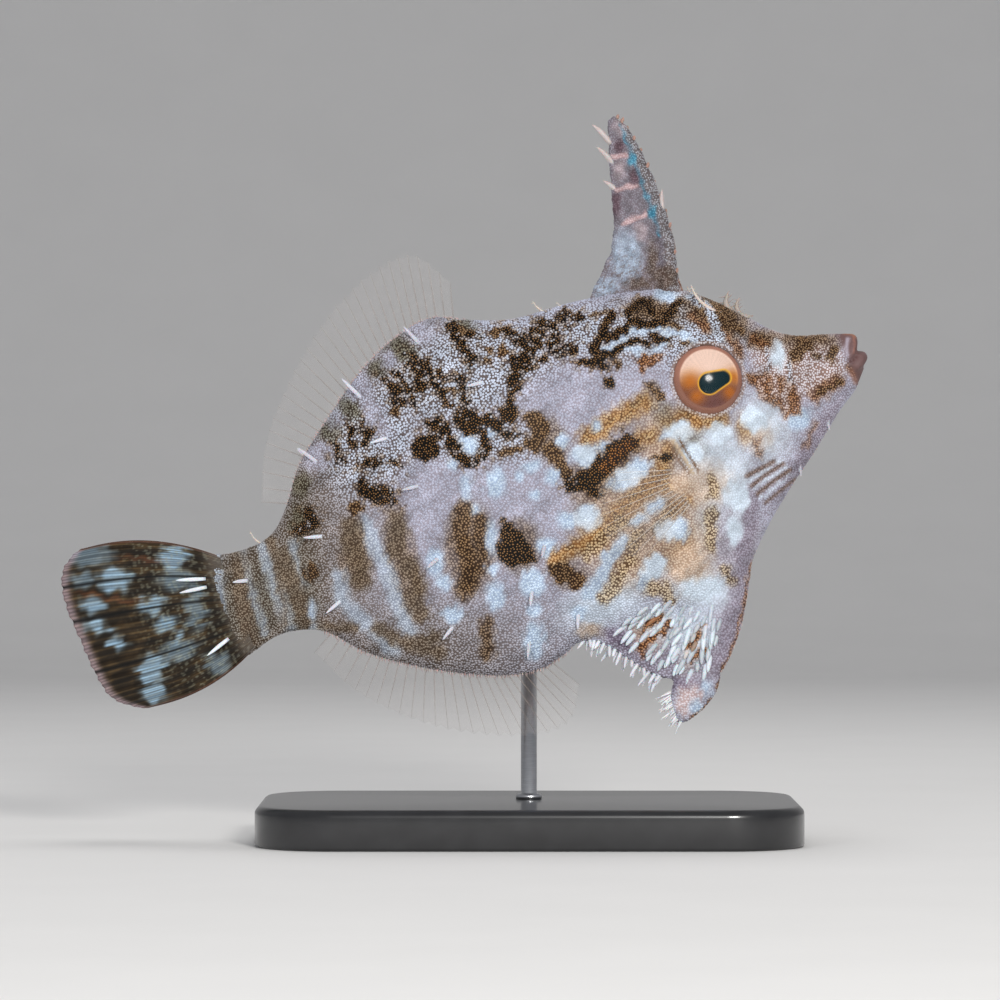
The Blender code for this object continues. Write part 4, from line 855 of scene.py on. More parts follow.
def arcTable():
    # Length of skin from the back down each section
    share = 0.5 - 0.5 * np.cos(math.pi * np.linspace(0, 1, 80))
    top, edge = backAt(arcS)[:, None], bellyAt(arcS)[:, None]
    t = top + (edge - top) * share
    y = halfWidthAt(np.repeat(arcS[:, None], len(share), 1), t)
    y[:, 0] = y[:, -1] = 0
    length = np.cumsum(np.hypot(np.diff(t, axis=1), np.diff(y, axis=1)), 1)
    return share, np.concatenate([np.zeros((len(arcS), 1)), length], 1)


arcShare, arcLength = arcTable()


def unwrapOf(points):
    # The skin laid flat: along the fish, and round each flank from the back down
    s, t, y = worldToFish(points)
    top, edge = backAt(s), bellyAt(s)
    w = np.clip((top - t) / (top - edge), 0, 1)
    row = np.clip(s / bodyShape["end"] * (len(arcS) - 1), 0, len(arcS) - 1.001).astype(int)
    column = np.clip(np.searchsorted(arcShare, w) - 1, 0, len(arcShare) - 2)
    u = (w - arcShare[column]) / (arcShare[column + 1] - arcShare[column])
    down = arcLength[row, column] * (1 - u) + arcLength[row, column + 1] * u + np.maximum(edge - t, 0)
    return np.stack([0.01 + s / bodyShape["mapLength"],
                     0.01 + np.where(y < 0, 0.0, 0.5) + down / bodyShape["mapRound"]], 1)


def writePaint(made, dots, net, size):
    setColour(made, "paint", net)
    setColour(made, "dots", dots)
    setValues(made, "grain", "FLOAT", size)
    setValues(made, "unwrap", "FLOAT2", unwrapOf(pointsOf(made)))


def finishPiece(made, material):
    made.data.materials.append(material)
    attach(made, "root")
    return made


def buildSkin():
    cfg = skinDetails
    skin = joinAll("skin", [buildBody(), buildLid(-1), buildLid(1), buildPelvis(),
                            buildLip(cfg["upperLip"]), buildLip(cfg["lowerLip"])])
    remesh(skin, cfg["cell"], cfg["smoothing"])
    setPoints(skin, sculpt(pointsOf(skin), normalsOf(skin)))
    points = pointsOf(skin)
    spots = toView(points)
    dots, net, size = paintFlank(spots, points[:, 1] > 0)
    s, t, _ = worldToFish(points)
    # Lips carry finer grain and lids their own colours, and there are no granules inside the sockets
    ring = np.hypot(s - cfg["eye"][0], t - cfg["eye"][1])
    lips = step((cfg["lipDepth"][0] - s) / cfg["lipDepth"][1])
    lids = step((cfg["lidRadius"] + 0.33 - ring) / 0.3) * step((ring - cfg["lidRadius"] + 0.32) / 0.2)
    dots, net = (blend(colour, tint, lips * share)
                 for colour, tint, share in zip((dots, net), palette["lip"], cfg["lipShares"]))
    # Lip marks: painted highlights on the lips and painted shade in the mouth's crease among them
    for tint, strength, soft, marks in cfg["lipMarks"]:
        dots, net = blendPair((dots, net), (tint, tint), strength * strokeMask(spots, marks, soft))
    stripes = cfg["stripeShare"] * strokeMask(spots, cfg["stripes"], 3.5)
    dots, net = blendPair((dots, net), cfg["stripeColours"], stripes)
    bare = np.zeros(len(points))
    # The gill's painted shade lines and its pale ridge, with no granules on them
    for tint, marks in cfg["bare"]:
        mask = strokeMask(spots, marks, 2.2)
        net = blend(net, tint, mask)
        bare = np.maximum(bare, mask)
    size = np.where((lips > 0.8) | (ring < cfg["socketRadius"]) | (bare > 0.4), 0.0, size * (1 - 0.5 * lips))
    size = np.where(s > cfg["skinEnd"] + 0.35 * wobble(spots, 12, 17), 0.0, size)
    dots, net = (blend(colour, tint, lids * share)
                 for colour, tint, share in zip((dots, net), cfg["lidColours"], cfg["lidShares"]))
    writePaint(skin, dots, net, size)
    return finishPiece(skin, skinMaterial)


# Granules: small domes scattered over the skin, kept apart by their spacing, in bands from the snout back

granules = {"spacing": 0.238, "radius": 0.178, "rise": 0.09, "sides": 5, "seed": 3, "patch": 0.0013,
            "vary": (0.82, 1.14), "least": 0.3, "most": 4.0e7,
            "bands": (0.74, 0.8, 0.87, 0.9, 0.9, 0.9, 0.86, 0.7), "hornBands": (0.6,)}


def nodeTree(name, **inputs):
    tree = bpy.data.node_groups.new(name, "GeometryNodeTree")
    tree.interface.new_socket("Geometry", in_out="INPUT", socket_type="NodeSocketGeometry")
    for label, kind in inputs.items():
        tree.interface.new_socket(label, in_out="INPUT", socket_type="NodeSocket" + kind)
    tree.interface.new_socket("Geometry", in_out="OUTPUT", socket_type="NodeSocketGeometry")
    return tree, tree.nodes.new("NodeGroupInput"), tree.nodes.new("NodeGroupOutput")


def putShapes(tree, start, end):
    # A shape on every point, made real, with its material
    info = addNode(tree, "GeometryNodeObjectInfo")
    put = addNode(tree, "GeometryNodeInstanceOnPoints")
    real = addNode(tree, "GeometryNodeRealizeInstances")
    finish = addNode(tree, "GeometryNodeSetMaterial")
    wire(tree, (start, "Shape", info, "Object"), (info, "Geometry", put, "Instance"),
         (put, "Instances", real, "Geometry"), (real, "Geometry", finish, "Geometry"),
         (start, "Finish", finish, "Material"), (finish, "Geometry", end, "Geometry"))
    return put


def addTree(made, tree, **values):
    modifier = made.modifiers.new(tree.name, "NODES")
    modifier.node_group = tree
    for item in tree.interface.items_tree:
        if item.item_type == "SOCKET" and item.in_out == "INPUT" and item.name in values:
            modifier[item.identifier] = values[item.name]
    return takeModifiers(made)


def makeGranuleTree():
    tree, start, end = nodeTree("scatterGranules", Shape="Object", Spacing="Float", Size="Float", Seed="Int",
                                Finish="Material")
    put = putShapes(tree, start, end)
    spread = addNode(tree, "GeometryNodeDistributePointsOnFaces", distribute_method="POISSON")
    spread.inputs["Density Max"].default_value = granules["most"]
    grain = addNode(tree, "GeometryNodeInputNamedAttribute", data_type="FLOAT", Name="grain")
    keep = addNode(tree, "FunctionNodeCompare", data_type="FLOAT", operation="GREATER_THAN")
    keep.inputs[1].default_value = granules["least"]
    vary = addNode(tree, "FunctionNodeRandomValue", data_type="FLOAT")
    vary.inputs[2].default_value, vary.inputs[3].default_value = granules["vary"]
    size = addNode(tree, "ShaderNodeMath", operation="MULTIPLY")
    wire(tree, (start, "Geometry", spread, "Mesh"), (start, "Spacing", spread, "Distance Min"),
         (start, "Seed", spread, "Seed"), (vary, 1, size, 0), (start, "Size", size, 1),
         (grain, "Attribute", keep, 0), (spread, "Points", put, "Points"), (keep, 0, put, "Selection"),
         (spread, "Rotation", put, "Rotation"), (size, 0, put, "Scale"))
    return tree


def buildDome(radius, rise, sides):
    # One granule: a low dome of two bands and a cap, sunk a little at its foot
    turn = circle(sides)
    points, patch = [], []
    for share, height in ((1.0, -0.35), (0.66, 0.62)):
        points += [(radius * share * math.cos(a), radius * share * math.sin(a), rise * height) for a in turn]
        patch += [(share * math.cos(a), share * math.sin(a)) for a in turn]
    faces = gridFaces(2, sides, closed=True)
    faces += [(sides + k, sides + (k + 1) % sides, 2 * sides) for k in range(sides)]
    made = makeObject("dome", np.array(points + [(0, 0, rise)]) * mm, faces)
    setValues(made, "patch", "FLOAT2", patch + [(0, 0)])
    return made


def finishCoat(made):
    # The coat's own map: each tuft is a small patch at its root's place on the unwrapped skin
    flat, patch = (readAll(made.data.attributes[name].data, "vector", 2) for name in ("unwrap", "patch"))
    corners = readAll(made.data.loops, "vertex_index", 1, np.int32)[:, 0]
    while made.data.uv_layers:
        made.data.uv_layers.remove(made.data.uv_layers[0])
    layer = made.data.uv_layers.new(name="OFBake")
    layer.data.foreach_set("uv", (flat + patch * granules["patch"])[corners].astype(np.float32).ravel())
    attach(made, "root")
    return made


def keepFaces(source, name, keep):
    # A copy of some of a mesh's faces, with all that is written on them
    made = bpy.data.objects.new(name, source.data.copy())
    bpy.context.scene.collection.objects.link(made)
    bm = bmesh.new()
    bm.from_mesh(made.data)
    bm.faces.ensure_lookup_table()
    bmesh.ops.delete(bm, geom=[bm.faces[int(k)] for k in np.nonzero(~keep)[0]], context="FACES")
    bm.to_mesh(made.data)
    bm.free()
    made.data.materials.clear()
    return made


def scatterGranules(source, name, tree, bands):
    dome = buildDome(granules["radius"], granules["rise"], granules["sides"])
    s, _, _ = worldToFish(readAll(source.data.polygons, "center", 3).astype(float))
    edges = np.quantile(s, np.linspace(0, 1, len(bands) + 1))
    made = []
    for k, scale in enumerate(bands):
        last = k == len(bands) - 1
        piece = keepFaces(source, f"{name}{k + 1}", (s >= edges[k]) & ((s < edges[k + 1]) | last))
        addTree(piece, tree, Shape=dome, Spacing=granules["spacing"] * scale * mm, Size=scale,
                Seed=granules["seed"] + k, Finish=granuleMaterial)
        made.append(finishCoat(piece))
    bpy.data.objects.remove(dome)
    return made


# Scattered shapes: one unit shape set on given points, each with its own turn, size and tint

def makeScatterTree():
    tree, start, end = nodeTree("setOnPoints", Shape="Object", Finish="Material")
    put = putShapes(tree, start, end)
    turn, reach = (addNode(tree, "GeometryNodeInputNamedAttribute", data_type="FLOAT_VECTOR", Name=name)
                   for name in ("turn", "reach"))
    euler = addNode(tree, "FunctionNodeEulerToRotation")
    wire(tree, (start, "Geometry", put, "Points"), (turn, "Attribute", euler, 0), (euler, 0, put, "Rotation"),
         (reach, "Attribute", put, "Scale"))
    return tree


def buildBlade(name, sides, rows, flat, bend, blunt):
    # A tapered blade one unit long, standing on the origin, curled a little over its back
    rings, patch = [], []
    for u in np.linspace(0, 1, rows):
        swell = 0.62 + 0.5 * math.sin(math.pi * (0.75 * u + 0.2))
        wide = (1 - u**blunt) ** 0.5 * swell * 0.5 + 0.02 * (1 - u)
        rings.append([(wide * math.cos(a), wide * flat * math.sin(a) + bend * u * u, u)
                      for a in circle(sides)])
        patch += [(math.cos(a) * (1 - u), math.sin(a) * (1 - u)) for a in circle(sides)]
    made = tube(name, rings)
    setValues(made, "patch", "FLOAT2", patch + [(0, 0), (0, 0)])
    return made


def tuft(root, tip, facing, wide, tint, stretch=1.0):
    # One shape from its root to its tip: root, direction, facing, size, tint
    run = tip - root
    return root, unit(run), facing, (wide, wide, np.linalg.norm(run) / mm * stretch), np.array(tint, float)


def setOnPoints(name, tufts, shape, tree):
    # Each shape stands along its own direction and turns its flat face outwards
    roots, along, facing, sizes, tints = zip(*tufts)
    turns = []
    for a, f in zip(along, facing):
        z = Vector(a).normalized()
        x = Vector(f).cross(z).normalized()
        turns.append(list(Matrix((x, z.cross(x), z)).transposed().to_euler()))
    made = makeObject(name, roots, [])
    setValues(made, "turn", "FLOAT_VECTOR", turns)
    setValues(made, "reach", "FLOAT_VECTOR", np.array(sizes) * mm)
    setColour(made, "tint", tints)
    setValues(made, "unwrap", "FLOAT2", unwrapOf(np.array(roots)))
    addTree(made, tree, Shape=shape, Finish=paleMaterial)
    return finishCoat(made)


# Flap, fringes and bristles

flapCoat = {
    "fan": (19.0, -12.4), "turnDeg": (-12.0, -80.0), "reach": (5.0, 14.4), "rowStep": 0.98, "spacing": 0.74,
    "size": (0.43, 0.4, 1.55), "room": 0.2, "lastS": 35.4, "seed": 5, "rise": 0.22, "sink": 0.08,
    "where": [(600, 632), (622, 618), (640, 604), (662, 598), (690, 604), (716, 600), (722, 622), (712, 652),
              (703, 672), (686, 690), (666, 688), (640, 678), (616, 660)],
    # The purple-grey tints tongues in the painted shadow lines
    "tint": (212, 221, 229), "upper": (186, 196, 208), "brown": (150, 98, 58), "shadowPurple": (128, 118, 136),
    "lines": [(5, [(662, 616), (651, 621), (645, 627), (642, 632)]),
              (5, [(668, 621), (668, 627), (659, 634), (651, 639), (644, 642), (641, 649), (642, 656)]),
              (5, [(702, 625), (697, 635), (693, 643), (686, 647)]),
              (5, [(704, 649), (698, 654), (690, 664)])],
    # Painted shadow lines between the tongues
    "shade": [(7, [(608, 630), (622, 634), (634, 640)]), (5, [(664, 683), (680, 682), (694, 675)])],
}


def flapTongues():
    cfg = flapCoat
    draw = np.random.default_rng(cfg["seed"])
    first, last = (math.radians(v) for v in cfg["turnDeg"])
    tufts = []
    row, reach = 0, cfg["reach"][0]
    while reach < cfg["reach"][1]:
        count = int(reach * (first - last) / cfg["spacing"])
        for i in range(count):
            turn = first + (last - first) * (i + 0.5 * (row % 2) + draw.uniform(-0.2, 0.2)) / count
            far = reach + draw.uniform(-0.25, 0.25)
            s, t = cfg["fan"][0] + far * math.cos(turn), cfg["fan"][1] + far * math.sin(turn)
            spot = toView(toWorld(s, t, 0.0))[None]
            low = float(step((reach - cfg["reach"][0]) / 5))
            grow, lean = draw.uniform(0.6, 1.25), draw.uniform(-0.22, 0.22)
            if areaMask(spot, cfg["where"], 2)[0] < 0.5 or t < bellyAt(s) + cfg["room"] or s > cfg["lastS"]:
                continue
            # Tongues on the brown lines or the painted shadow lines are mostly left out; the rest take brown
            # or the purple-grey of painted shadow
            brown, shade = strokeMask(spot, cfg["lines"], 3), strokeMask(spot, cfg["shade"], 3)
            if max(brown[0], shade[0]) > 0.4 and draw.uniform() < 0.85:
                continue
            tint = blend(blend(np.array(cfg["tint"]), cfg["brown"], brown), cfg["shadowPurple"], shade)[0]
            tint = tint + (np.array(cfg["upper"]) - tint) * (1 - low)
            ahead = unit(heading(math.cos(turn + lean), math.sin(turn + lean)))
            for side in (-1, 1):
                out = outward(s, t, side)
                tufts.append((toWorld(s, t, side * (halfWidthAt(s, t) - cfg["sink"])),
                              ahead - out * (ahead @ out) + out * cfg["rise"] * (0.3 + 0.7 * low), out,
                              (cfg["size"][0] * (0.7 + 0.35 * low), cfg["size"][1], cfg["size"][2] * grow),
                              tint * draw.uniform(0.84, 1.02)))
        reach += cfg["rowStep"]
        row += 1
    return tufts


edgeBristles = {  # first and last place, spacing and length
    "belly": (38.0, 60.5, 0.2, 0.55), "back": (36.0, 59.5, 0.26, 0.4), "throat": (6.0, 25.0, 0.3, 0.3),
    "tint": (206, 178, 176), "wide": 0.1, "seed": 8,
}


def edgeTufts():
    cfg = edgeBristles
    draw = np.random.default_rng(cfg["seed"])
    tufts = []
    for curve, up, row in ((bellyAt, -1, "belly"), (backAt, 1, "back"), (bellyAt, -1, "throat")):
        start, end, gap, length = cfg[row]
        for s in np.arange(start, end, gap):
            for side in (-1, 1):
                at = s + draw.uniform(-0.1, 0.1)
                y = side * draw.uniform(0.05, 0.4)
                lean = draw.uniform(0.1, 0.8)
                ahead = unit(heading(lean, up, side * draw.uniform(0, 0.35)))
                tufts.append((toWorld(at, curve(at) - up * (0.08 + abs(y) * 0.25), y), ahead, (0, side, 0.1),
                              (cfg["wide"], cfg["wide"], length * draw.uniform(0.6, 1.25)),
                              np.array(cfg["tint"]) * draw.uniform(0.85, 1.1)))
    return tufts


fringe = {"start": 30.6, "end": 36.6, "step": 0.2, "length": 1.85, "turnDeg": -48.0, "wide": 0.34, "seed": 9,
          "tint": (214, 216, 222),
          "pelvisCount": 34, "pelvisRoot": (30.35, -24.3), "pelvisFall": 3.1, "pelvisWide": 0.17,
          "pelvisLength": 1.5, "pelvisTint": (226, 222, 224)}


def flapFringe():
    cfg = fringe
    draw = np.random.default_rng(cfg["seed"])
    tufts = []
    for i, s in enumerate(np.arange(cfg["start"], cfg["end"], cfg["step"])):
        turn = math.radians(cfg["turnDeg"] + draw.uniform(-26, 22))
        side = (-1) ** i
        ahead = unit(heading(math.cos(turn), math.sin(turn), side * draw.uniform(0, 0.3)))
        tufts.append((toWorld(s, bellyAt(s) + 0.25, side * draw.uniform(0.05, 0.3)), ahead, (0, side, 0.1),
                      (cfg["wide"], cfg["wide"], cfg["length"] * draw.uniform(0.45, 1.15)),
                      np.array(cfg["tint"]) * draw.uniform(0.92, 1.05)))
    rootS, rootT = cfg["pelvisRoot"]
    for i in range(cfg["pelvisCount"]):
        share = i / (cfg["pelvisCount"] - 1)
        side = (-1) ** i
        ahead = unit(heading(1.0, -0.1 - 0.7 * share + draw.uniform(-0.4, 0.4), side * 0.12))
        root = toWorld(rootS + 0.3 * math.sin(math.pi * share), rootT - cfg["pelvisFall"] * share,
                       side * 0.14)
        tufts.append((root, ahead, (0, side, 0.1),
                      (cfg["pelvisWide"], cfg["pelvisWide"], cfg["pelvisLength"] * draw.uniform(0.45, 1.2)),
                      np.array(cfg["pelvisTint"]) * draw.uniform(0.9, 1.06)))
    return tufts


# Skin tassels: root and tip in the fish's frame, and how far the tip stands off the flank

tassels = {
    "flank": [
        (5.9, -3.7, 6.2, -5.5, 0.5), (10.0, -6.7, 10.5, -8.8, 0.5), (57.0, 2.6, 59.0, 3.2, 0.8),
        (57.6, -3.9, 59.6, -4.6, 0.8), (47.0, -3.4, 48.6, -4.0, 0.9), (48.1, -10.3, 49.7, -11.2, 0.8),
        (39.6, -9.7, 40.4, -11.2, 0.9), (36.1, -13.4, 36.8, -15.0, 0.7), (36.8, -5.9, 37.6, -7.1, 0.9),
        (36.6, 11.2, 38.5, 11.4, 0.9), (47.4, 9.5, 49.4, 9.6, 0.8), (46.3, 3.9, 48.1, 4.1, 0.9),
        (41.2, 16.8, 42.2, 19.3, 1.3), (48.6, 14.0, 49.8, 16.6, 1.3), (55.0, 9.6, 56.4, 11.8, 1.2),
        (65.6, 1.2, 67.2, 1.6, 0.7)],
    "rightOnly": [(41.6, -14.2, 42.5, -16.0, 0.6)],
    "tail": [(69.7, 2.9, 72.4, 3.8, 1.1), (69.9, 2.1, 72.5, 2.5, 1.1), (69.7, -3.5, 72.2, -4.3, 1.1)],
    "feathers": [  # and which side they stand on, and how thick they are
        (9.7, 7.8, 9.8, 11.0, 0, 3.1), (9.9, 7.8, 9.3, 9.9, 0, 2.6), (27.8, 15.0, 29.1, 17.3, 0, 1.0),
        (25.8, 14.9, 27.0, 16.3, 0, 1.0), (63.0, 3.9, 63.7, 5.8, 0, 1.0), (12.7, 9.6, 13.7, 13.0, -1, 1.0),
        (12.2, 9.2, 14.0, 10.9, -1, 1.0), (12.9, 9.7, 13.9, 13.1, 1, 1.0), (12.4, 9.0, 14.1, 10.8, 1, 1.0)],
    "wide": 0.36, "tint": (198, 198, 208), "tailTint": (224, 226, 232), "featherTint": (204, 190, 180),
    "shift": 0.3, "stretch": 1.05, "seed": 12,
}


def flankTassels():
    cfg = tassels
    draw = np.random.default_rng(cfg["seed"])
    tufts = []

    def add(root, tip, out, tint):
        tint = np.array(tint) * draw.uniform(0.94, 1.03)
        tufts.append(tuft(root, tip, out, cfg["wide"], tint, cfg["stretch"]))

    rows = [(row, side) for row in cfg["flank"] for side in (-1, 1)] + [(row, -1) for row in cfg["rightOnly"]]
    for (s0, t0, s1, t1, off), side in rows:
        move = draw.uniform(-cfg["shift"], cfg["shift"]) if side > 0 else 0.0
        root = toWorld(s0 + move, t0 - move / 2, side * (halfWidthAt(s0 + move, t0 - move / 2) - 0.15))
        tip = toWorld(s1 + move, t1 - move / 2, side * (halfWidthAt(s1 + move, t1 - move / 2) + off))
        add(root, tip, outward(s0, t0, side), cfg["tint"])
    for s0, t0, s1, t1, off in cfg["tail"]:
        for side in (-1, 1):
            add(toWorld(s0, t0, side * 0.55), toWorld(s1, t1, side * (0.8 + off * 0.6)), (0, side, 0),
                cfg["tailTint"])
    return tufts


def backTassels():
    cfg = tassels
    tufts = []
    for s0, t0, s1, t1, side, thick in cfg["feathers"]:
        y = side * halfWidthAt(s0, t0) * 0.9
        root, tip = toWorld(s0, t0, y), toWorld(s1, t1, y + (side or -0.3) * 0.5)
        wide = np.linalg.norm(tip - root) / mm * thick
        tufts.append(tuft(root, tip, (0, -1.0, 0), wide,
                          np.array(cfg["featherTint"]) * (0.8 if thick > 2 else 1.0)))
    return tufts


def buildFeather(name):
    # A curved stem one unit long with small side barbs
    def stem(u):
        return np.array([0.16 * math.sin(2.6 * u), 0.0, u])

    def barb(start, end, wide=0.022, sides=4, rows=3):
        across, up = np.cross(unit(end - start), (0, 1, 0)), np.array((0, 1, 0))
        ring = [across * math.cos(a) + up * math.sin(a) for a in circle(sides)]
        return tube(name, [[start + (end - start) * u + wide * (1 - 0.9 * u) * point for point in ring]
                           for u in np.linspace(0, 1, rows)])

    parts = [tube(name, [[stem(u) + (0.055 * (1 - u) ** 0.6 + 0.008) * np.array([math.cos(a), math.sin(a), 0])
                          for a in circle(7)] for u in np.linspace(0, 1, 12)])]
    for k, u in enumerate(np.linspace(0.25, 0.88, 9)):
        side = (-1) ** k
        reach = np.array([side * 0.11, 0.05 * side * (k % 3 - 1), 0.1]) * (1.2 - 0.5 * u)
        parts.append(barb(stem(u), stem(u) + reach))
    made = joinAll(name, parts)
    setValues(made, "patch", "FLOAT2", np.clip(pointsOf(made)[:, :2] * 3, -1, 1))
    return made


# Eyes: a painted iris with a sunk pupil under a clear cornea

eyeShape = {  # the pupil runs from one circle to a smaller one, each a place and a radius
    "radius": 3.52, "halfDepth": 2.0, "sink": 0.68, "irisRadius": 2.95,
    "pupil": ((-0.08, -0.62), 1.0, (1.42, 0.02), 0.66), "pupilDepth": 0.35, "rings": 64, "sides": 120,
    # The iris is painted pale at its top as a painted sheen and darker below as painted shade
    "ring": (148, 104, 88), "irisSheenTop": (216, 186, 170), "irisShadeLow": (98, 64, 60), "orange": (176, 98, 28),
    "pupilColour": (15, 38, 44), "gold": (214, 160, 52),
    # Orange places in the iris: place and reach
    "glows": [(-1.95, -0.4, 1.0), (2.4, 0.1, 0.85), (-1.3, -1.8, 0.8), (2.0, -1.4, 0.75)],
    "corneaRise": 0.05, "corneaBack": 0.6, "corneaWidth": 0.985, "corneaGloss": (0.016, 0.35),
}


def pupilDistance(a, b):
    (ax, ay), ar, (bx, by), br = eyeShape["pupil"]
    best = np.full(np.shape(a), 1e9)
    for u in np.linspace(0, 1, 24):
        gap = np.hypot(a - ax - (bx - ax) * u, b - ay - (by - ay) * u)
        best = np.minimum(best, gap - (ar + (br - ar) * u))
    return best


def eyeFrame(side):
    centre = skinDetails["eye"]
    out = outward(*centre, side)
    middle = toWorld(*centre, side * halfWidthAt(*centre)) - out * eyeShape["sink"] * mm
    up = unit(np.array([0, 0, 1.0]) - out * out[2])
    ahead = np.cross(up, out)
    return middle, out, up, ahead if ahead[0] > 0 else -ahead


def capPoints(side, limit, rise, rings, sides, sink=None):
    # Points of the flattened ball from its middle out to a limit, in the eye's own frame
    middle, out, up, ahead = eyeFrame(side)
    angle, turn = np.meshgrid(np.linspace(0.0, limit, rings), circle(sides), indexing="ij")
    r = (eyeShape["radius"] + rise) * np.sin(angle)
    h = (eyeShape["halfDepth"] + rise) * np.cos(angle)
    a, b = r * np.cos(turn), r * np.sin(turn)
    if sink is not None:
        h = h - sink(a, b, r)
    return middle + (a[..., None] * ahead + b[..., None] * up + h[..., None] * out) * mm, a, b, r


def buildEye(side):
    cfg = eyeShape
    name = "eyeRight" if side < 0 else "eyeLeft"

    def sink(a, b, r):
        inner = step((cfg["irisRadius"] - r) / 0.25)
        hole = step(0.5 - pupilDistance(a, b) / 0.14)
        spokes = 0.002 * np.sin(34 * np.arctan2(b, a) + 2.5 * np.sin(5 * np.arctan2(b, a)))
        return inner * (0.12 + spokes * (1 - hole)) + hole * cfg["pupilDepth"]

    points, *frames = capPoints(side, math.pi, 0.0, cfg["rings"] * 2, cfg["sides"], sink)
    ball = tube(name, points[1:-1])
    a, b, r = (np.concatenate([values[1:-1].ravel(), [0, 0]]) for values in frames)
    turn, gap = np.arctan2(b, a), pupilDistance(a, b)
    # Painted light on the iris: pale sheen at the top, painted shade below, the rim also darker below
    lower = step(0.5 - b / 2.6)
    glow = np.max([np.exp(-((a - x) ** 2 + (b - y) ** 2) / reach**2) for x, y, reach in cfg["glows"]], 0)
    iris = blend(np.array(cfg["irisSheenTop"]), cfg["irisShadeLow"], lower**1.6)
    iris = blend(iris, cfg["orange"], glow * 0.85)
    iris = iris * (1 + 0.02 * np.sin(46 * turn + 3 * np.sin(7 * turn) + 2 * r))[:, None]
    iris = blend(iris, cfg["gold"], np.exp(-((gap - 0.1) / 0.09) ** 2))
    iris = blend(iris, cfg["pupilColour"], step(0.5 - gap / 0.08))
    rim = np.array(cfg["ring"]) * (1.06 - 0.12 * lower)[:, None]
    iris = blend(iris, rim, step((r - cfg["irisRadius"] + 0.1) / 0.2))
    setColour(ball, "paint", iris)
    finishPiece(ball, eyeMaterial)
    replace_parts(ball, "eye_right" if side < 0 else "eye_left")
    cap, under = (capPoints(side, math.asin(cfg["corneaWidth"]), rise, 24, 80)[0]
                  for rise in (cfg["corneaRise"], -cfg["corneaBack"]))
    finishPiece(tube(name + "Cornea", np.concatenate([cap[1:], under[1:][::-1]])), corneaMaterial)


def makeCornea():
    made = bpy.data.materials.new("clearCornea")
    made.use_nodes = True
    tree = made.node_tree
    tree.nodes.remove(tree.nodes["Principled BSDF"])
    clear = addNode(tree, "ShaderNodeBsdfTransparent")
    gloss = addNode(tree, "ShaderNodeBsdfGlossy", Roughness=0.13)
    facing = addNode(tree, "ShaderNodeLayerWeight", Blend=0.5)
    steep = addNode(tree, "ShaderNodeMath", operation="POWER")
    steep.inputs[1].default_value = 4.0
    edge = addRange(tree, 0.0, 1.0, *eyeShape["corneaGloss"])
    mix = addNode(tree, "ShaderNodeMixShader")
    wire(tree, (facing, "Facing", steep, 0), (steep, 0, edge, "Value"), (edge, "Result", mix, "Fac"),
         (clear, "BSDF", mix, 1), (gloss, "BSDF", mix, 2),
         (mix, "Shader", tree.nodes["Material Output"], "Surface"))
    return made


corneaMaterial = makeCornea()


# Dorsal spine and the web of skin behind it

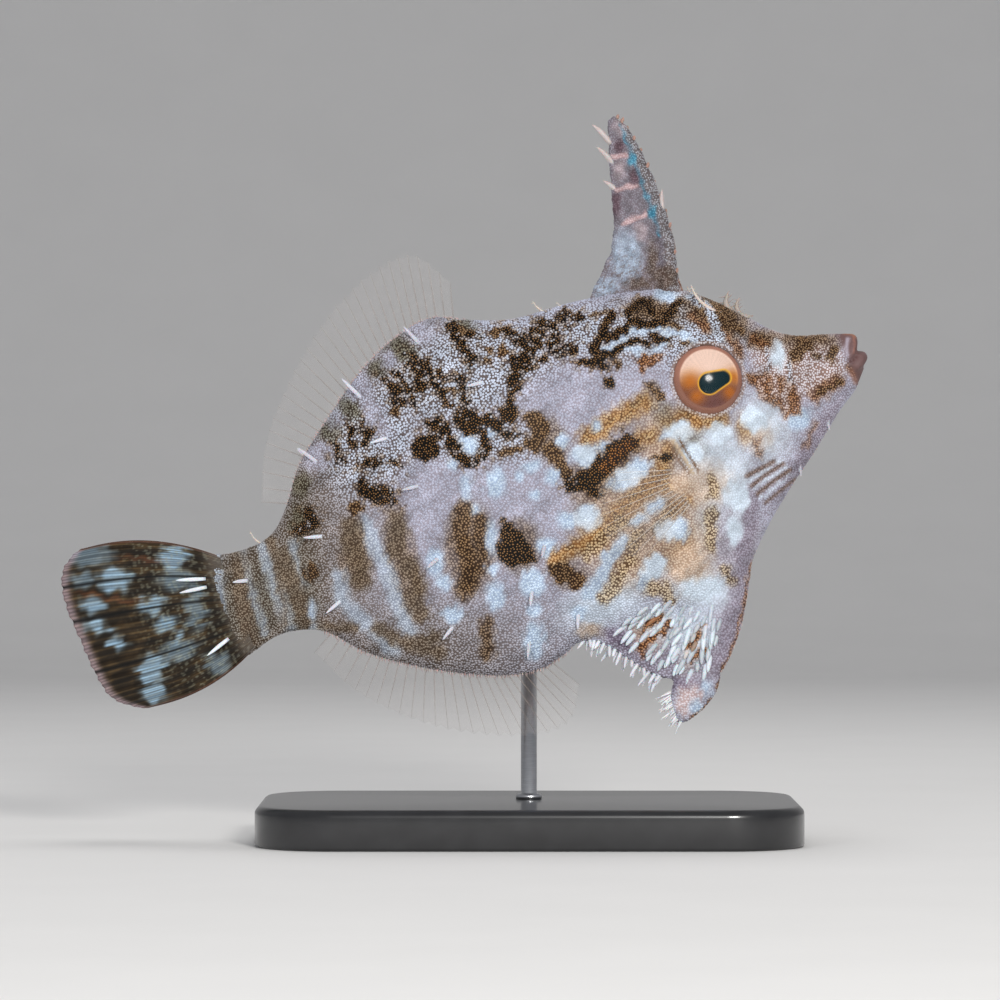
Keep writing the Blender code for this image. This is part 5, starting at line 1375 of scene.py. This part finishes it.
hornShape = {
    # Rings of the spine as (s, t, half depth, half width)
    "spine": [(15.95, 12.6, 1.2, 0.95), (15.95, 13.62, 1.1, 0.85), (15.5, 15.2, 0.95, 0.8),
              (14.75, 17.4, 0.85, 0.72), (14.35, 20.6, 0.82, 0.66), (14.3, 24.0, 0.78, 0.58),
              (14.4, 27.6, 0.66, 0.48), (14.7, 30.3, 0.44, 0.36), (15.1, 31.45, 0.2, 0.16)],
    "webFront": [(17.0, 13.4), (16.4, 15.6), (15.6, 18.2), (15.2, 20.4), (15.1, 22.8), (15.1, 25.2),
                 (15.0, 27.6), (15.1, 31.2)],
    "webRear": [(24.2, 15.0), (21.8, 17.3), (20.1, 19.0), (19.0, 21.0), (18.3, 23.4), (17.6, 25.6),
                (16.95, 27.8), (15.7, 31.3)],
    "webHalf": (0.5, 0.24), "cell": 0.13,
    "folds": [([(613, 158), (626, 156)], 0.16, 0.16), ([(616, 190), (636, 186)], 0.2, 0.18),
              ([(622, 224), (646, 214)], 0.2, 0.18), ([(605, 262), (640, 250)], 0.2, 0.12),
              ([(612, 280), (650, 270)], 0.25, 0.1)],
    "base": ((133, 129, 138), (105, 97, 104)), "grain": 0.8,
    # Kind, strength, softness, marks, colour of the granules, colour between them
    "marks": [
        ("oval", 0.8, 14, [(626, 256, 16, 26, 0), (606, 288, 16, 10, -30)], (166, 184, 202), (146, 160, 178)),
        ("line", 0.7, 5, [(13, [(626, 118), (642, 160), (658, 200), (670, 240), (674, 296)])],
         (158, 160, 164), (88, 81, 80)),
        ("oval", 0.7, 8, [(620, 126, 6, 10, 0), (619, 170, 6, 9, 0), (640, 232, 6, 9, 0)],
         (172, 158, 160), (150, 134, 138)),
        ("oval", 0.85, 6, [(620, 147, 5, 7, 0), (616, 204, 4, 12, 0), (634, 178, 4, 8, 0)],
         (104, 82, 90), (74, 54, 62)),
        ("oval", 0.8, 8, [(652, 262, 5, 18, 0), (664, 278, 12, 12, 0), (640, 284, 12, 6, 0)],
         (124, 110, 100), (66, 50, 40)),
        ("brokenLine", 0.85, 4.5, [(3.5, [(620, 124), (631, 152), (643, 186), (652, 212), (660, 236)])],
         (80, 138, 160), (56, 102, 124)),
        ("oval", 0.8, 4, [(632, 159, 3.5, 5, 20), (653, 212, 3, 6, 20)], (96, 168, 194), (60, 128, 156)),
        ("line", 0.8, 3, [(4, [(613, 157), (626, 156)]), (5, [(616, 190), (636, 186)]),
                          (5, [(622, 224), (646, 214)])], (206, 180, 180), (184, 150, 150)),
        ("line", 0.7, 3, [(3, [(630, 118), (646, 150), (660, 186), (672, 222), (679, 258), (682, 290)])],
         (170, 120, 90), (120, 74, 46))],
    "speckColours": ((112, 96, 90), (84, 66, 58)), "specksFrom": 225,
    "hook": [(13.8, 21.0), (13.5, 23.0)], "hookWide": 0.55, "tasselWide": 0.68, "barbWide": 0.32,
    "tassels": [(16.3, 29.0, 17.0, 31.6), (16.8, 27.0, 17.4, 29.4), (17.4, 24.2, 18.0, 26.0)],
    "barbs": 15, "barbLength": 0.5, "tuftTint": (186, 176, 174), "barbTint": (164, 134, 122),
}


def buildHorn():
    cfg = hornShape
    rows = np.array(cfg["spine"])
    u = np.linspace(0, len(rows) - 1, 60)
    s, t, deep, wide = (np.interp(u, np.arange(len(rows)), rows[:, k])[:, None] for k in range(4))
    turn = circle(24)
    spine = tube("spine", toWorld(s + deep * np.cos(turn), t, wide * np.sin(turn)))
    v = np.linspace(0, len(cfg["webFront"]) - 1, 50)
    front, rear = (np.stack([np.interp(v, np.arange(len(line)), np.array(line)[:, k]) for k in (0, 1)], 1)
                   for line in (cfg["webFront"], cfg["webRear"]))
    across = np.concatenate([np.linspace(0, 1, 16), np.linspace(1, 0, 16)])
    side = np.repeat([-1.0, 1.0], 16)
    half = cfg["webHalf"][0] + (cfg["webHalf"][1] - cfg["webHalf"][0]) * across
    half = half * np.where((across == 0) | (across == 1), 0.5, 1.0)
    place = front[:, None] + (rear - front)[:, None] * across[None, :, None]
    web = tube("web", toWorld(place[..., 0], place[..., 1], side * half))
    horn = joinAll("horn", [spine, web])
    remesh(horn, cfg["cell"], 5)
    points, normals = pointsOf(horn), normalsOf(horn)
    spots = toView(points)
    lift = 0.05 * wobble(spots, 14, 21)
    for line, width, height in cfg["folds"]:
        away, _ = nearLine(spots, line)
        lift += height * np.exp(-((away * sideView["unit"]) / width) ** 2) * np.abs(normals[:, 1])
    setPoints(horn, points + normals * (lift * mm)[:, None])
    pair = [np.tile(np.array(colour, float), (len(points), 1)) for colour in cfg["base"]]
    spots = spots + drift(spots, 14, 22) * 1.2
    for kind, strength, soft, marks, *tints in cfg["marks"]:
        mask = strength * (ovalMask if kind == "oval" else strokeMask)(spots, marks, soft)
        if kind == "brokenLine":
            mask = mask * (0.75 + 0.25 * wobble(spots, 12, 27))
        pair = blendPair(pair, tints, mask)
    specks = step((wobble(spots, 5, 25) + wobble(spots, 3.4, 26) - 0.5) / 0.3)
    specks = specks * step((spots[:, 1] - cfg["specksFrom"]) / 60)
    pair = blendPair(pair, cfg["speckColours"], 0.55 * specks)
    tone = (1 + 0.08 * wobble(spots, 10, 24))[:, None]
    writePaint(horn, pair[0] * tone, pair[1] * tone, np.full(len(points), cfg["grain"]))
    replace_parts(horn, "dorsal_spine", "spine_web")
    return finishPiece(horn, skinMaterial)


def hornTufts():
    cfg = hornShape
    tufts = []
    rows = np.array(cfg["spine"])
    for i in range(cfg["barbs"]):
        u = 1.2 + (len(rows) - 2.4) * i / (cfg["barbs"] - 1)
        s, t, deep, wide = (np.interp(u, np.arange(len(rows)), rows[:, k]) for k in range(4))
        side = (-1) ** i
        length = cfg["barbLength"] * (0.7 + 0.3 * ((i * 3) % 4) / 3)
        tip = toWorld(s - 0.8 * deep - length * 0.75, t + length * 0.7, side * (wide * 0.45 + 0.1))
        tufts.append(tuft(toWorld(s - 0.75 * deep, t - 0.1, side * wide * 0.3), tip, (0, side, 0.2),
                          cfg["barbWide"], cfg["barbTint"]))
    foot, end = cfg["hook"]
    tufts.append(tuft(toWorld(*foot, -0.2), toWorld(*end, -0.5), heading(-1.0, 0.0), cfg["hookWide"],
                      cfg["tuftTint"]))
    for s0, t0, s1, t1 in cfg["tassels"]:
        tufts.append(tuft(toWorld(s0, t0, 0.0), toWorld(s1, t1, -0.3), heading(0.9, -0.6), cfg["tasselWide"],
                          cfg["tuftTint"]))
    return tufts


# Fins with separate rays: nearly clear membranes

longFins = {
    "dorsal_fin": {"edge": backAt, "up": 1, "rays": 28, "start": 37.2, "end": 59.6,
                   "lengths": [(0, 3.4), (0.14, 6.4), (0.4, 6.2), (0.75, 4.6), (1, 2.4)],
                   "leansDeg": [(0, -16), (0.25, -4), (0.6, 24), (0.85, 48), (1, 66)]},
    "anal_fin": {"edge": bellyAt, "up": -1, "rays": 26, "start": 40.2, "end": 60.2,
                 "lengths": [(0, 3.2), (0.16, 6.2), (0.4, 6.0), (0.75, 4.4), (1, 2.3)],
                 "leansDeg": [(0, -30), (0.25, -12), (0.6, 22), (0.85, 46), (1, 62)]},
}
clearFins = {"wave": 0.8, "rootSink": 0.5, "rows": 14, "membraneHalf": 0.03, "rayRadius": 0.07, "raySides": 6,
             "scallop": 0.035}


def clearMaterial(name, colour, alpha, roughness):
    return plainMaterial(name, colour, 1600.0, 0.2, 0.00004, (0.8, 1.1),
                         **{"Roughness": roughness, "Alpha": alpha, "Specular IOR Level": 0.35})[0]


membraneMaterial = clearMaterial("clearMembrane", (0.5, 0.46, 0.44, 1), 0.055, 0.25)
pectoralRayMaterial = clearMaterial("pectoralRays", (0.72, 0.68, 0.64, 1), 0.26, 0.3)
rayMaterial = clearMaterial("finRays", (0.36, 0.29, 0.25, 1), 0.26, 0.35)


def longFinGrid(cfg, columns, scallop=0.0):
    share = np.linspace(0, 1, columns)
    reach = np.linspace(0, 1, clearFins["rows"])[:, None]
    s = cfg["start"] + (cfg["end"] - cfg["start"]) * share
    lean = np.radians(smoothCurve(cfg["leansDeg"])(share))
    length = smoothCurve(cfg["lengths"])(share)
    root = cfg["edge"](s) + cfg["up"] * 0.3
    out = length * reach - clearFins["rootSink"] * (1 - reach) ** 3
    wave = -clearFins["wave"] * np.sin(share * 2.2 * math.pi) * reach**1.5
    t = root + cfg["up"] * out * np.cos(lean)
    t = t[:1] + (t - t[:1]) * (1 + scallop * np.cos(cfg["rays"] * 2 * math.pi * share) * reach**4)
    return s + out * np.sin(lean), t, wave


def sheetPiece(name, s, t, y, half):
    # A closed thin sheet through a grid of middle points
    flat = toWorld(s, t, y)
    away = np.array([0, mm, 0]) * np.broadcast_to(half, s.shape)[..., None]
    rows, columns = s.shape
    points = np.concatenate([(flat - away).reshape(-1, 3), (flat + away).reshape(-1, 3)])
    count = rows * columns
    faces = gridFaces(rows, columns) + [tuple(reversed(f)) for f in gridFaces(rows, columns, count)]
    rim = [(0, j) for j in range(columns)] + [(i, columns - 1) for i in range(1, rows)]
    rim += [(rows - 1, j) for j in range(columns - 2, -1, -1)] + [(i, 0) for i in range(rows - 2, 0, -1)]
    for (i, j), (k, m) in zip(rim, rim[1:] + rim[:1]):
        faces.append((i * columns + j, k * columns + m, count + k * columns + m, count + i * columns + j))
    return faceOutwards(makeObject(name, points, faces))


def rayTubes(name, s, t, y, radii):
    # One tapered tube for each column of a grid
    path, sides = toWorld(s, t, y), clearFins["raySides"]
    points, faces = [], []
    for j in range(path.shape[1]):
        rings = ringsAlong(path[:, j], radii, sides, (0, 1.0, 0))
        start, end = len(points), len(points) + (len(rings) - 1) * sides
        points.extend(rings.reshape(-1, 3))
        faces += gridFaces(len(rings), sides, start, closed=True)
        faces += [tuple(start + k for k in reversed(range(sides))), tuple(end + k for k in range(sides))]
    return faceOutwards(makeObject(name, np.array(points), faces))


def finPieces(name, node, sheet, rays, radius, rayFinish):
    # A clear membrane and the tapered rays in it
    membrane = finishPiece(sheetPiece(name + "Membrane", *sheet, clearFins["membraneHalf"]), membraneMaterial)
    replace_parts(membrane, node)
    radii = radius * (1 - 0.75 * np.linspace(0, 1, len(rays[0])))
    finishPiece(rayTubes(name + "Rays", *rays, radii), rayFinish)


def buildLongFin(node):
    cfg = longFins[node]
    finPieces(node.split("_")[0] + "Fin", node, longFinGrid(cfg, cfg["rays"] * 4 + 1, clearFins["scallop"]),
              longFinGrid(cfg, cfg["rays"] + 1), clearFins["rayRadius"], rayMaterial)


pectoralShape = {
    "root": [(22.5, -3.6), (22.0, -7.4)], "rays": 11, "turnDeg": [(0, 18), (0.5, -6), (1, -28)],
    "length": [(0, 6.2), (0.25, 8.2), (0.5, 8.9), (0.8, 8.4), (1, 7.2)], "liftDeg": 9.0, "rayRadius": 0.075}


def pectoralGrid(side, columns, rows):
    cfg = pectoralShape
    share = np.linspace(0, 1, columns)[None, :]
    reach = np.linspace(0, 1, rows)[:, None]
    (sa, ta), (sb, tb) = cfg["root"]
    turn = np.radians(smoothCurve(cfg["turnDeg"])(share))
    out = smoothCurve(cfg["length"])(share) * reach
    s = sa + (sb - sa) * share + out * np.cos(turn)
    t = ta + (tb - ta) * share + out * np.sin(turn)
    lift = math.tan(math.radians(cfg["liftDeg"]))
    clear = halfWidthAt(s, t) + 0.35 * step(reach / 0.25) + 0.1 + lift * np.maximum(out - 2.0, 0.0)
    return s, t, side * clear


def buildPectoral(side):
    cfg = pectoralShape
    finPieces("pectoralRight" if side < 0 else "pectoralLeft",
              "pectoral_fin_right" if side < 0 else "pectoral_fin_left",
              pectoralGrid(side, cfg["rays"] * 6 + 1, 30), pectoralGrid(side, cfg["rays"], 24),
              cfg["rayRadius"], pectoralRayMaterial)


# Tail fin: forking rays, the membrane between them, and its own markings

tailShape = {
    "rays": 12, "base": [(67.6, 4.5), (67.6, 2.0), (67.6, -1.0), (67.6, -3.6), (67.6, -5.3)],
    "margin": [(81.0, 10.45), (83.1, 8.6), (83.9, 5.6), (83.8, 1.6), (83.6, -1.9), (82.9, -4.9),
               (80.4, -7.25)],
    "bulges": (1.5, -1.2), "swing": 2.2, "rootHalf": 0.95, "membraneHalf": 0.1, "rayHalf": 0.24, "rows": 90,
    "baseColour": (36, 27, 16), "light": (68, 54, 34),
    "patches": [
        (117, 579, 17, 13, 0), (175, 557, 14, 13, 0), (91, 606, 12, 8, 0), (154, 605, 13, 9, 0),
        (98, 626, 12, 8, 0), (165, 624, 13, 8, 0), (177, 637, 5, 7, 0), (116, 643, 8, 8, 0),
        (150, 670, 14, 15, 0), (154, 694, 13, 10, 0)],
    "faint": [(88, 556, 24, 12, 0), (181, 580, 20, 11, 0), (219, 663, 13, 11, 0), (196, 606, 10, 26, 0),
              (84, 580, 12, 9, 0), (176, 652, 22, 10, -20)],
    "rusty": [(118, 600, 20, 3, 5), (94, 595, 15, 3, 5), (150, 560, 30, 3, 5)],
    "blue": (146, 178, 202), "lilac": (158, 140, 148), "rust": (104, 62, 40),
    "speckColour": (136, 140, 126), "edgeColour": (92, 62, 50), "rootColour": (112, 104, 98),
    "strongGaps": (3, 5, 8),
}


def tailPath(points, share):
    rows = np.array(points, float)
    at = np.linspace(0, 1, len(rows))
    return [smoothCurve(list(zip(at, rows[:, k])))(share) for k in (0, 1)]


def buildTail():
    cfg = tailShape
    share = np.linspace(0, 1, cfg["rays"] * 20 + 1)
    reach = np.linspace(0, 1, cfg["rows"])[:, None]
    (s0, t0), (s1, t1) = tailPath(cfg["base"], share), tailPath(cfg["margin"], share)
    # Each ray is one stem at its root and forks in two further out
    cell = share * cfg["rays"]
    stem = np.exp(-(((cell % 1) - 0.5) / 0.13) ** 2)
    spread = 0.26 * step((reach - 0.32) / 0.4)
    pair = np.exp(-((np.abs((cell % 1) - 0.5) - spread) / 0.1) ** 2)
    forked = step((reach - 0.3) / 0.2)
    ridge = stem * (1 - forked) + pair * forked
    joint = 0.75 + 0.25 * np.sin(reach * 150 + cell * 1.3)
    margin = 1 + 0.003 * (np.cos(4 * math.pi * cell + share * 9) - np.cos(2 * math.pi * cell)) * reach**6
    margin = margin - 0.04 * reach**4 * (np.exp(-share / 0.04) + np.exp((share - 1) / 0.04))
    bulge = cfg["bulges"][0] + (cfg["bulges"][1] - cfg["bulges"][0]) * share
    s = s0 + (s1 - s0) * reach * margin
    t = t0 + (t1 - t0) * reach * margin + bulge * 4 * reach * (1 - reach) ** 1.2
    y = cfg["swing"] * reach**2 + 0.1 * np.sin(2 * math.pi * cell) * reach
    root = (cfg["rootHalf"] - cfg["membraneHalf"]) * np.clip(1 - reach / 0.3, 0, 1) ** 1.2
    rise = (cfg["rayHalf"] - cfg["membraneHalf"]) * ridge * joint * (1 - 0.45 * reach)
    half = cfg["membraneHalf"] + root + rise
    half = half * np.clip(np.minimum(share, 1 - share) * 40, 0.3, 1)
    made = sheetPiece("tailFin", s, t, y, half)
    spots = toView(pointsOf(made))
    ray, out, cells = (np.tile(np.broadcast_to(values, s.shape).ravel(), 2)
                       for values in (ridge, reach, cell))
    # Markings break off unevenly at each fine ray
    breaks = np.random.default_rng(34).uniform(-1, 1, cfg["rays"] * 3 + 2)[(cells * 3).astype(int)]
    warped = spots + drift(spots, 16, 31) * 2.0
    warped[:, 0] += 4.5 * breaks
    colour = blend(np.array(cfg["baseColour"]), cfg["light"], 0.75 * ray)
    colour = colour * (0.7 + 0.5 * step(0.5 + 0.6 * wobble(warped, 34, 33)))[:, None]
    specks = step((wobble(spots, 9, 35) + wobble(spots, 5, 36) - 0.7) / 0.3) * step((0.75 - out) / 0.3)
    edge = np.minimum(cells, cfg["rays"] - cells)
    for mask, tint in (
            (0.5 * ovalMask(warped, cfg["rusty"], 5), cfg["rust"]),
            (0.5 * ovalMask(warped, cfg["faint"], 9), cfg["blue"]),
            (0.86 * ovalMask(warped, cfg["patches"], 9) * (0.84 + 0.16 * np.sin(cells * 19 + 3 * breaks)),
             cfg["blue"]),
            (0.42 * specks, cfg["speckColour"]),
            (0.7 * step((out - 0.925) / 0.06), cfg["lilac"]),
            (0.8 * step((0.3 - edge) / 0.2), cfg["edgeColour"]),
            (0.6 * step((0.16 - out) / 0.12), cfg["rootColour"])):
        colour = blend(colour, tint, mask)
    streak = 1 + 0.17 * np.sin(2 * math.pi * cells * 5 + 2 * np.sin(out * 9))
    gaps = np.minimum(cells % 1, 1 - cells % 1)
    strong = 0.25 + 0.6 * np.isin(np.floor(cells + 0.5), cfg["strongGaps"])
    colour = colour * (streak * (1 - strong * np.exp(-(gaps / 0.07) ** 2) * step(out / 0.2)))[:, None]
    setColour(made, "paint", colour)
    finishPiece(made, finMaterial)
    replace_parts(made, "tail_fin")


# Stand

stand = {"length": 54.0, "width": 34.0, "height": 4.0, "corner": 8.0, "bevel": 0.8, "x": 6.5, "rodY": 2.15,
         "rodRadius": 0.8, "rodHigh": 25.6, "collarRadius": 1.3, "collarHigh": 0.6,
         "lacquer": (0.012, 0.012, 0.013, 1), "steel": (0.6, 0.61, 0.63, 1)}


def standMaterials():
    lacquer, *_ = plainMaterial("blackLacquer", stand["lacquer"], 420.0, 0.05, 0.00005, (0.7, 1.5),
                                **{"Roughness": 0.3, "Coat Weight": 0.6, "Coat Roughness": 0.12})
    steel, tree, noise = plainMaterial("brushedRod", stand["steel"], 900.0, 0.08, 0.00002, (0.85, 1.08),
                                       **{"Roughness": 0.3, "Metallic": 1.0, "Anisotropic": 0.6})
    # The grain is squeezed along the rod, as brushing round it leaves it
    squeeze = addNode(tree, "ShaderNodeMapping", Scale=(1.0, 1.0, 14.0))
    wire(tree, (noise.inputs["Vector"].links[0].from_node, "Object", squeeze, "Vector"),
         (squeeze, "Vector", noise, "Vector"))
    return lacquer, steel


def buildStand():
    cfg = stand
    lacquer, steel = standMaterials()
    outline, bend = [], np.linspace(0, math.pi / 2, 16)
    for sx, sy, quarter in ((1, 1, 0), (-1, 1, 1), (-1, -1, 2), (1, -1, 3)):
        cx, cy = sx * (cfg["length"] / 2 - cfg["corner"]), sy * (cfg["width"] / 2 - cfg["corner"])
        outline += [(cx, cy, math.cos(a), math.sin(a)) for a in bend + quarter * math.pi / 2]
    cx, cy, ax, ay = np.array(outline).T
    profile = [(0.35, 0.0), (0.1, 0.08), (0.0, 0.35)]
    profile += [(cfg["bevel"] * (1 - math.cos(a)), cfg["height"] - cfg["bevel"] * (1 - math.sin(a)))
                for a in np.linspace(0, math.pi / 2, 8)]
    rings = []
    for inset, z in profile:
        r = cfg["corner"] - inset
        rings.append(np.stack([cfg["x"] + cx + r * ax, cy + r * ay, np.full(len(cx), z)], 1) * mm)
    base = finishPiece(tube("standBase", rings), lacquer)
    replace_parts(base, "stand_base")
    turn, collar, radius, foot = circle(40), cfg["collarRadius"], cfg["rodRadius"], cfg["height"]
    profile = [(collar, foot - 0.02), (collar, foot + 0.35), (collar - 0.1, foot + 0.5),
               (radius + 0.05, foot + cfg["collarHigh"] - 0.05), (radius, foot + cfg["collarHigh"]),
               (radius, cfg["rodHigh"])]
    rings = []
    for r, z in profile:
        rings.append(np.stack([cfg["x"] + r * np.cos(turn), cfg["rodY"] + r * np.sin(turn),
                               np.full(len(turn), z)], 1) * mm)
    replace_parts(finishPiece(tube("standRod", rings), steel), "stand_rod")


# Studio

studio = {
    "floorHalf": 1.6, "backY": 0.45, "bendRadius": 0.35, "floorColour": (0.78, 0.77, 0.755, 1),
    "viewCentre": (3.6, 34.0), "viewWidth": 100.0, "distance": 500.0,
    "worldLight": 0.3, "worldColour": (0.92, 0.94, 1.0, 1),
    "lamps": [  # place, aim, size, strength, colour
        ((0.15, -0.50, 0.20), (0.0, 0.0, 0.035), 0.11, 1.9, (1.0, 0.985, 0.96)),
        ((-0.28, -0.42, 0.07), (0.0, 0.0, 0.035), 0.26, 1.0, (0.95, 0.97, 1.0)),
        ((0.03, 0.10, 0.42), (0.0, 0.0, 0.03), 0.30, 0.8, (1.0, 1.0, 1.0)),
    ],
}


def addToScene(made, place, turn):
    made.location, made.rotation_euler = place, turn
    bpy.context.scene.collection.objects.link(made)
    return made


def buildStudio():
    cfg = studio
    half, backY, bend = cfg["floorHalf"], cfg["backY"], cfg["bendRadius"]
    profile = [(-half, 0.0), (backY, 0.0)]
    profile += [(backY + bend * math.sin(a), bend * (1 - math.cos(a)))
                for a in np.linspace(0, math.pi / 2, 24)[1:]]
    profile.append((backY + bend, half))
    floor = makeObject("floorSweep", [(x, y, z) for y, z in profile for x in (-half, half)],
                       gridFaces(len(profile), 2))
    if floor.data.polygons[0].normal.z < 0:
        floor.data.flip_normals()
    paint, *_ = plainMaterial("paleFloor", cfg["floorColour"], 60.0, 0.02, 0.0002, (0.985, 1.01),
                              Roughness=0.75)
    floor.data.materials.append(paint)
    for number, (place, aim, size, strength, colour) in enumerate(cfg["lamps"]):
        lamp = bpy.data.lights.new(f"softbox{number + 1}", "AREA")
        lamp.shape, lamp.size, lamp.energy, lamp.color = "DISK", size, strength, colour
        turn = (Vector(aim) - Vector(place)).to_track_quat("-Z", "Y").to_euler()
        made = addToScene(bpy.data.objects.new(lamp.name, lamp), place, turn)
        made.visible_glossy = number == 0  # the two fill lamps give no highlights
    world = bpy.data.worlds.new("studioWorld")
    world.use_nodes = True
    sky = world.node_tree.nodes["Background"]
    sky.inputs["Color"].default_value = cfg["worldColour"]
    sky.inputs["Strength"].default_value = cfg["worldLight"]
    bpy.context.scene.world = world
    camera = bpy.data.cameras.new("sideCamera")
    camera.sensor_width = 36.0
    camera.lens = camera.sensor_width * cfg["distance"] / cfg["viewWidth"]
    camera.clip_start, camera.clip_end = 0.01, 20.0
    place = [v * mm for v in (cfg["viewCentre"][0], -cfg["distance"], cfg["viewCentre"][1])]
    made = addToScene(bpy.data.objects.new("sideCamera", camera), place, (math.pi / 2, 0, 0))
    bpy.context.scene.camera = made
    bpy.context.scene.view_settings.view_transform = "Standard"


buildStudio()
buildStand()
print("studio and stand made")
skin = buildSkin()
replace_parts(skin, "head", "trunk", "flap", "stalk", "upper_lip", "lower_lip", "pelvis_tip")
print("skin made,", len(skin.data.polygons), "faces")
horn = buildHorn()
granuleTree, scatterTree = makeGranuleTree(), makeScatterTree()
coats = scatterGranules(skin, "granules", granuleTree, granules["bands"])
coats += scatterGranules(horn, "hornGranules", granuleTree, granules["hornBands"])
print("granules made,", [len(c.data.polygons) for c in coats])
# Unit shapes: sides, rows, flatness, bend, bluntness
tongue = buildBlade("tongueShape", 8, 8, 0.8, 0.4, 7.0)
bristle = buildBlade("bristleShape", 3, 3, 1.0, 0.05, 1.5)
hook = buildBlade("hookShape", 8, 9, 0.8, 0.6, 3.0)
leaf = buildBlade("leafShape", 8, 9, 0.3, 0.14, 4.0)
feather = buildFeather("featherShape")
for name, tufts, shape in (
        ("flapTongues", flapTongues(), tongue), ("edgeBristles", edgeTufts(), bristle),
        ("flapFringe", flapFringe(), tongue), ("flankTassels", flankTassels(), leaf),
        ("backTassels", backTassels(), feather), ("hornTufts", hornTufts(), hook)):
    setOnPoints(name, tufts, shape, scatterTree)
for shape in (tongue, bristle, hook, leaf, feather):
    bpy.data.objects.remove(shape)
print("flap, fringes and tassels made")
for side in (-1, 1):
    buildEye(side)
    buildPectoral(side)
for node in longFins:
    buildLongFin(node)
buildTail()
print("eyes and fins made")
